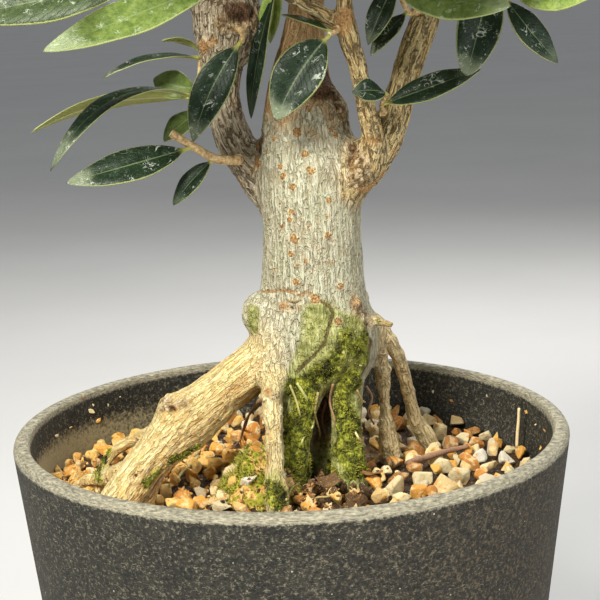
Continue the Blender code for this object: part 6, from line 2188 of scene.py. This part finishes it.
rib_share = leaf_top.span(leaf_top.math("DIVIDE", from_rib, rib_width), 1.0, 0.45, 0.0, 0.5)
tone = leaf_top.mix(rib_share, tone, (0.20, 0.27, 0.12))
margin = leaf_top.span(leaf_top.plus(from_rib, leaf_top.times(fine, 0.10)), 0.965, 1.01, 0.0, 0.7)
tone = leaf_top.mix(margin, tone, (0.42, 0.46, 0.18))
crust = leaf_top.plus(leaf_top.noise(flat, 1.5, 5.0, 0.75, 0.5), leaf_top.times(mottled, 0.5), -0.25)
crust = leaf_top.plus(crust, leaf_top.times(dust, 0.08), leaf_top.times(pale_end, 0.12))
grains = leaf_top.span(crust, 0.70, 0.78)
ring_places = leaf_top.span(leaf_top.noise(flat, 0.25, 2.0), 0.53, 0.65)
rings = leaf_top.math("ABSOLUTE", leaf_top.math("SUBTRACT", leaf_top.cells(flat, 0.36), 0.22))
rings = leaf_top.times(leaf_top.span(rings, 0.05, 0.0), ring_places, dust, leaf_top.span(fine, 0.38, 0.52))
dried_drops = leaf_top.times(leaf_top.lines(flat, 0.22, 0.022, 0.8), ring_places, dust)
spots = leaf_top.math("MAXIMUM", grains, leaf_top.math("MAXIMUM", rings, dried_drops))
tone = leaf_top.mix(leaf_top.times(spots, 0.75), tone, (0.64, 0.70, 0.58))
stalk_share = leaf_top.span(along_leaf, 0.13, 0.05)
tone = leaf_top.mix(stalk_share, tone, (0.42, 0.42, 0.10))
gloss = leaf_top.plus(leaf_top.span(fine, 0.3, 0.7, 0.28, 0.46), leaf_top.times(film, 0.3))
gloss = leaf_top.plus(gloss, leaf_top.times(spots, 0.3))
leaf_relief = leaf_top.plus(leaf_top.times(fine, 0.6), leaf_top.times(veins, -0.4), leaf_top.times(spots, 0.5))
leaf_top.bump(leaf_relief, 0.14)
leaf_top_material = leaf_top.paint(tone, gloss)

leaf_low = Finish("leaf_underside", Specular_IOR_Level=0.3)
flat = leaf_low.place()
side, along_leaf, tint = leaf_low.read("side"), leaf_low.read("along"), leaf_low.read("tint")
from_rib = leaf_low.math("ABSOLUTE", side)
down = leaf_low.noise(flat, 1.6, 4.0, 0.65)
tone = leaf_low.ramp(down, (0.3, (0.15, 0.17, 0.055)), (0.7, (0.30, 0.32, 0.13)))
tone = leaf_low.mix(leaf_low.times(tint, 0.8), tone, (0.30, 0.31, 0.04))
rib_share = leaf_low.span(from_rib, 0.12, 0.04, 0.0, 0.7)
tone = leaf_low.mix(rib_share, tone, (0.55, 0.56, 0.28))
tone = leaf_low.mix(leaf_low.span(along_leaf, 0.13, 0.05), tone, (0.42, 0.42, 0.12))
leaf_low.bump(down, 0.08)
leaf_low_material = leaf_low.paint(tone, leaf_low.span(down, 0.3, 0.7, 0.55, 0.72))

twig_bark = Finish("twig_bark", Specular_IOR_Level=0.3)
flat = twig_bark.place()
knots = twig_bark.noise(flat, 0.9, 4.0, 0.65)
tone = twig_bark.ramp(knots, (0.32, (0.22, 0.12, 0.045)), (0.5, (0.50, 0.34, 0.15)), (0.68, (0.74, 0.60, 0.36)))
dots_at = twig_bark.span(twig_bark.cells(flat, 0.8), 0.16, 0.08)
tone = twig_bark.mix(dots_at, tone, (0.66, 0.50, 0.28))
tone = twig_bark.mix(twig_bark.span(twig_bark.read("pale"), 0.0, 0.5), tone, (0.90, 0.80, 0.56))
twig_bark.bump(knots, 0.12)
twig_material = twig_bark.paint(tone, 0.7)
print("leaf and twig finished")

# %% [markdown]
# Each shoot of the plain model becomes one fine piece, and the plain one is hidden. The leaves that the photograph
# shows keep their own looks, noted in a short table. The others get theirs from a seeded draw, and each free twig
# carries a few more leaves between the pairs that the plain solid has, a small pair of young leaves at its end, and a
# bud.

# %% Dress the shoots
LOOKS = {
    "front_left": [
        {"tint": 0.38, "dust": 0.5, "pale": 0.7, "fold": 0.12, "twist": 0.1},
        {"tint": 0.22, "dust": 0.7, "pale": 0.35, "fold": 0.12},
    ],
    "behind_left": [
        {"tint": 0.4, "dust": 0.1, "pale": 0.2},
        {"tint": 0.1, "dust": 0.7, "pale": 0.3},
        {"tint": 0.34, "dust": 0.0, "pale": 0.1, "fold": 0.3, "sway": -0.05},
        {"tint": 0.10, "dust": 0.7, "pale": 0.35, "twist": 0.5},
        {"tint": 0.35, "dust": 0.3, "pale": 0.5, "twist": 0.3},
        {"tint": 0.28, "dust": 0.0, "pale": 0.1},
    ],
    "cut_twig": [
        {"tint": 0.10, "dust": 0.75, "pale": 0.6, "sway": -0.03, "fold": 0.10, "wave": 0.02},
        {"tint": 0.10, "dust": 0.8, "pale": 0.15, "twist": 0.2},
    ],
    "under_knot": [{"tint": 0.06, "dust": 0.9, "pale": 0.35, "fold": 0.22, "sway": 0.04}],
    "leader_side": [
        {"tint": 0.03, "dust": 0.4, "pale": 0.1, "twist": 0.9},
        {"tint": 0.75, "dust": 0.0, "pale": 0.3},
        {"tint": 0.6, "dust": 0.0, "pale": 0.5},
    ],
    "front_node": [
        {"tint": 0.10, "dust": 0.9, "pale": 0.55, "fold": 0.24, "sway": 0.04},
        {"tint": 0.2, "dust": 0.4, "pale": 0.2},
    ],
    "between_forks": [
        {"tint": 0.08, "dust": 0.9, "pale": 0.4},
        {"tint": 0.06, "dust": 0.7, "pale": 0.3},
    ],
    "in_the_fork": [
        {"tint": 0.08, "dust": 0.7, "pale": 0.15, "sway": 0.03},
        {"tint": 0.10, "dust": 0.5, "pale": 0.2, "twist": 1.2},
    ],
    "right_low": [
        {"tint": 0.08, "dust": 0.95, "pale": 0.5, "sharp": 0.6, "belly": 0.8},
        {"tint": 0.06, "dust": 0.7, "pale": 0.2, "sway": 0.05},
        {"tint": 0.55, "dust": 0.3, "pale": 0.3},
    ],
    "front_right": [{"tint": 0.35, "dust": 0.5, "pale": 0.5, "fold": 0.12}],
}
EXTRA_PLACES = (0.14, 0.47, 0.80)
EXTRA_SCALE = (0.62, 0.95)
EXTRA_CLEARANCE = 1.3
YOUNG_SCALE = (0.26, 0.42)
TWIG_SIDES = 9
NODE_SWELL = 0.35
BUD = ((0.5, 0.75), (1.3, 0.8), (2.2, 0.45), (2.8, 0.1))
LOOKS_SEED = 19


def random_look(rng, young=0.0):
    look = dict(DEFAULT_LOOK)
    look["sway"] = rng.uniform(-0.05, 0.05)
    look["twist"] = rng.uniform(-0.5, 0.5)
    look["fold"] = rng.uniform(0.08, 0.26)
    look["roll"] = rng.uniform(0.04, 0.2)
    look["wave"] = rng.uniform(0.0, 0.06)
    look["tint"] = min(0.9, rng.random() ** 2.2 * 0.45 + young)
    look["dust"] = rng.random() * (1.0 - young)
    look["pale"] = rng.uniform(0.05, 0.5)
    look["belly"] = rng.uniform(0.82, 0.96)
    return look


def inside_box(leaf):
    """Whether the blade stays inside the box of the plain solids, with a little room for its own thickness."""
    points = blade_samples(leaf)
    low, high = (np.array(corner) / MM for corner in cad_box)
    return bool((points > low + 1.0).all() and (points < high - 1.0).all())


def more_leaves(crown, line, rng):
    """Leaves between the pairs that are there already, and the young pair at the twig's end."""
    found = []
    crown.rng = rng
    first_turn = rng.uniform(0.0, 180.0)
    for k, share in enumerate(EXTRA_PLACES):
        point, way = along_line(line, share)
        for half in (0.0, 180.0):
            scale = rng.uniform(*EXTRA_SCALE)
            for leaf in crown.try_leaf(point, way, first_turn + 90.0 * k + half, scale):
                if inside_box(leaf):
                    found.append((leaf, 0.0))
    point, way = along_line(line, 1.0)
    for half in (0.0, 180.0):
        for leaf in crown.try_leaf(point, way, first_turn + 45.0 + half, rng.uniform(*YOUNG_SCALE)):
            if inside_box(leaf):
                found.append((leaf, 0.4))
    return found


def twig_rows(line, radii):
    """The twig's smooth line, swollen where its leaves sit and closed by a bud."""
    rows = smooth(np.column_stack([line, np.linspace(*radii, len(line))]), 7)
    steps = np.linalg.norm(np.diff(rows[:, :3], axis=0), axis=1)
    at = np.concatenate([[0.0], np.cumsum(steps)])
    share = at / at[-1]
    swell = sum(np.exp(-(((share - place) / 0.022) ** 2)) for place in (*LEAF_PLACES, *EXTRA_PLACES))
    rows[:, 3] *= 1.0 + NODE_SWELL * swell
    way = unit(rows[-1, :3] - rows[-2, :3])
    bud = [(*(rows[-1, :3] + way * reach), radius) for reach, radius in BUD]
    return np.vstack([rows, bud])


def bare_twig_rows(line, radii):
    """A twig that the photograph shows: a little crooked, thicker at its foot, with no swellings or bud."""
    rows = smooth(np.column_stack([line, np.linspace(*radii, len(line))]), 7)
    rows[:, 3] *= 1.0 + 0.12 * wander(rows[:, :3], 3.0) + 0.35 * np.linspace(1.0, 0.0, len(rows)) ** 6
    return rows


def dress_shoot(name, line, radii, leaves, looks, grid, bare):
    rows = bare_twig_rows(line, radii) if bare else twig_rows(line, radii)
    twig_points, twig_faces = tube(rows, TWIG_SIDES)
    blank = {key: np.zeros(len(twig_points)) for key in ("side", "along", "tint", "dust", "pale")}
    blank["pale"][-1] = float(bare)
    parts = [(twig_points, twig_faces, blank)]
    which = [2] * len(twig_faces)
    for leaf, look in zip(leaves, looks):
        points, faces, rows, upper = fine_blade(leaf, look, grid)
        parts.append((points, faces, rows))
        which += [0] * upper + [1] * (len(faces) - upper)
    points, faces, rows = joined(parts)
    shoot = piece(name, points, faces, [leaf_top_material, leaf_low_material, twig_material], which, **rows)
    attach(shoot, "root")
    return shoot


looks_rng = random.Random(LOOKS_SEED)
crown.clearance = EXTRA_CLEARANCE
low_names = list(LOW_SHOOTS)
leaf_total = face_total = 0
for i, (line, radii, leaves) in enumerate(crown.shoots):
    known = LOOKS[low_names[i]] if i < len(low_names) else []
    looks = [{**DEFAULT_LOOK, **look} for look in known]
    looks += [random_look(looks_rng) for _ in leaves[len(known):]]
    grid = NEAR_LEAF_GRID if known else LEAF_GRID
    added = [] if known else more_leaves(crown, line, looks_rng)
    leaves = leaves + [leaf for leaf, _ in added]
    looks += [random_look(looks_rng, young) for _, young in added]
    shoot = dress_shoot(f"shoot_{i + 1:02d}", line, radii, leaves, looks, grid, bool(known))
    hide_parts(SHOOT_NODES[i])
    leaf_total += len(leaves)
    face_total += len(shoot.data.polygons)
print(leaf_total, "leaves dressed,", face_total, "faces")
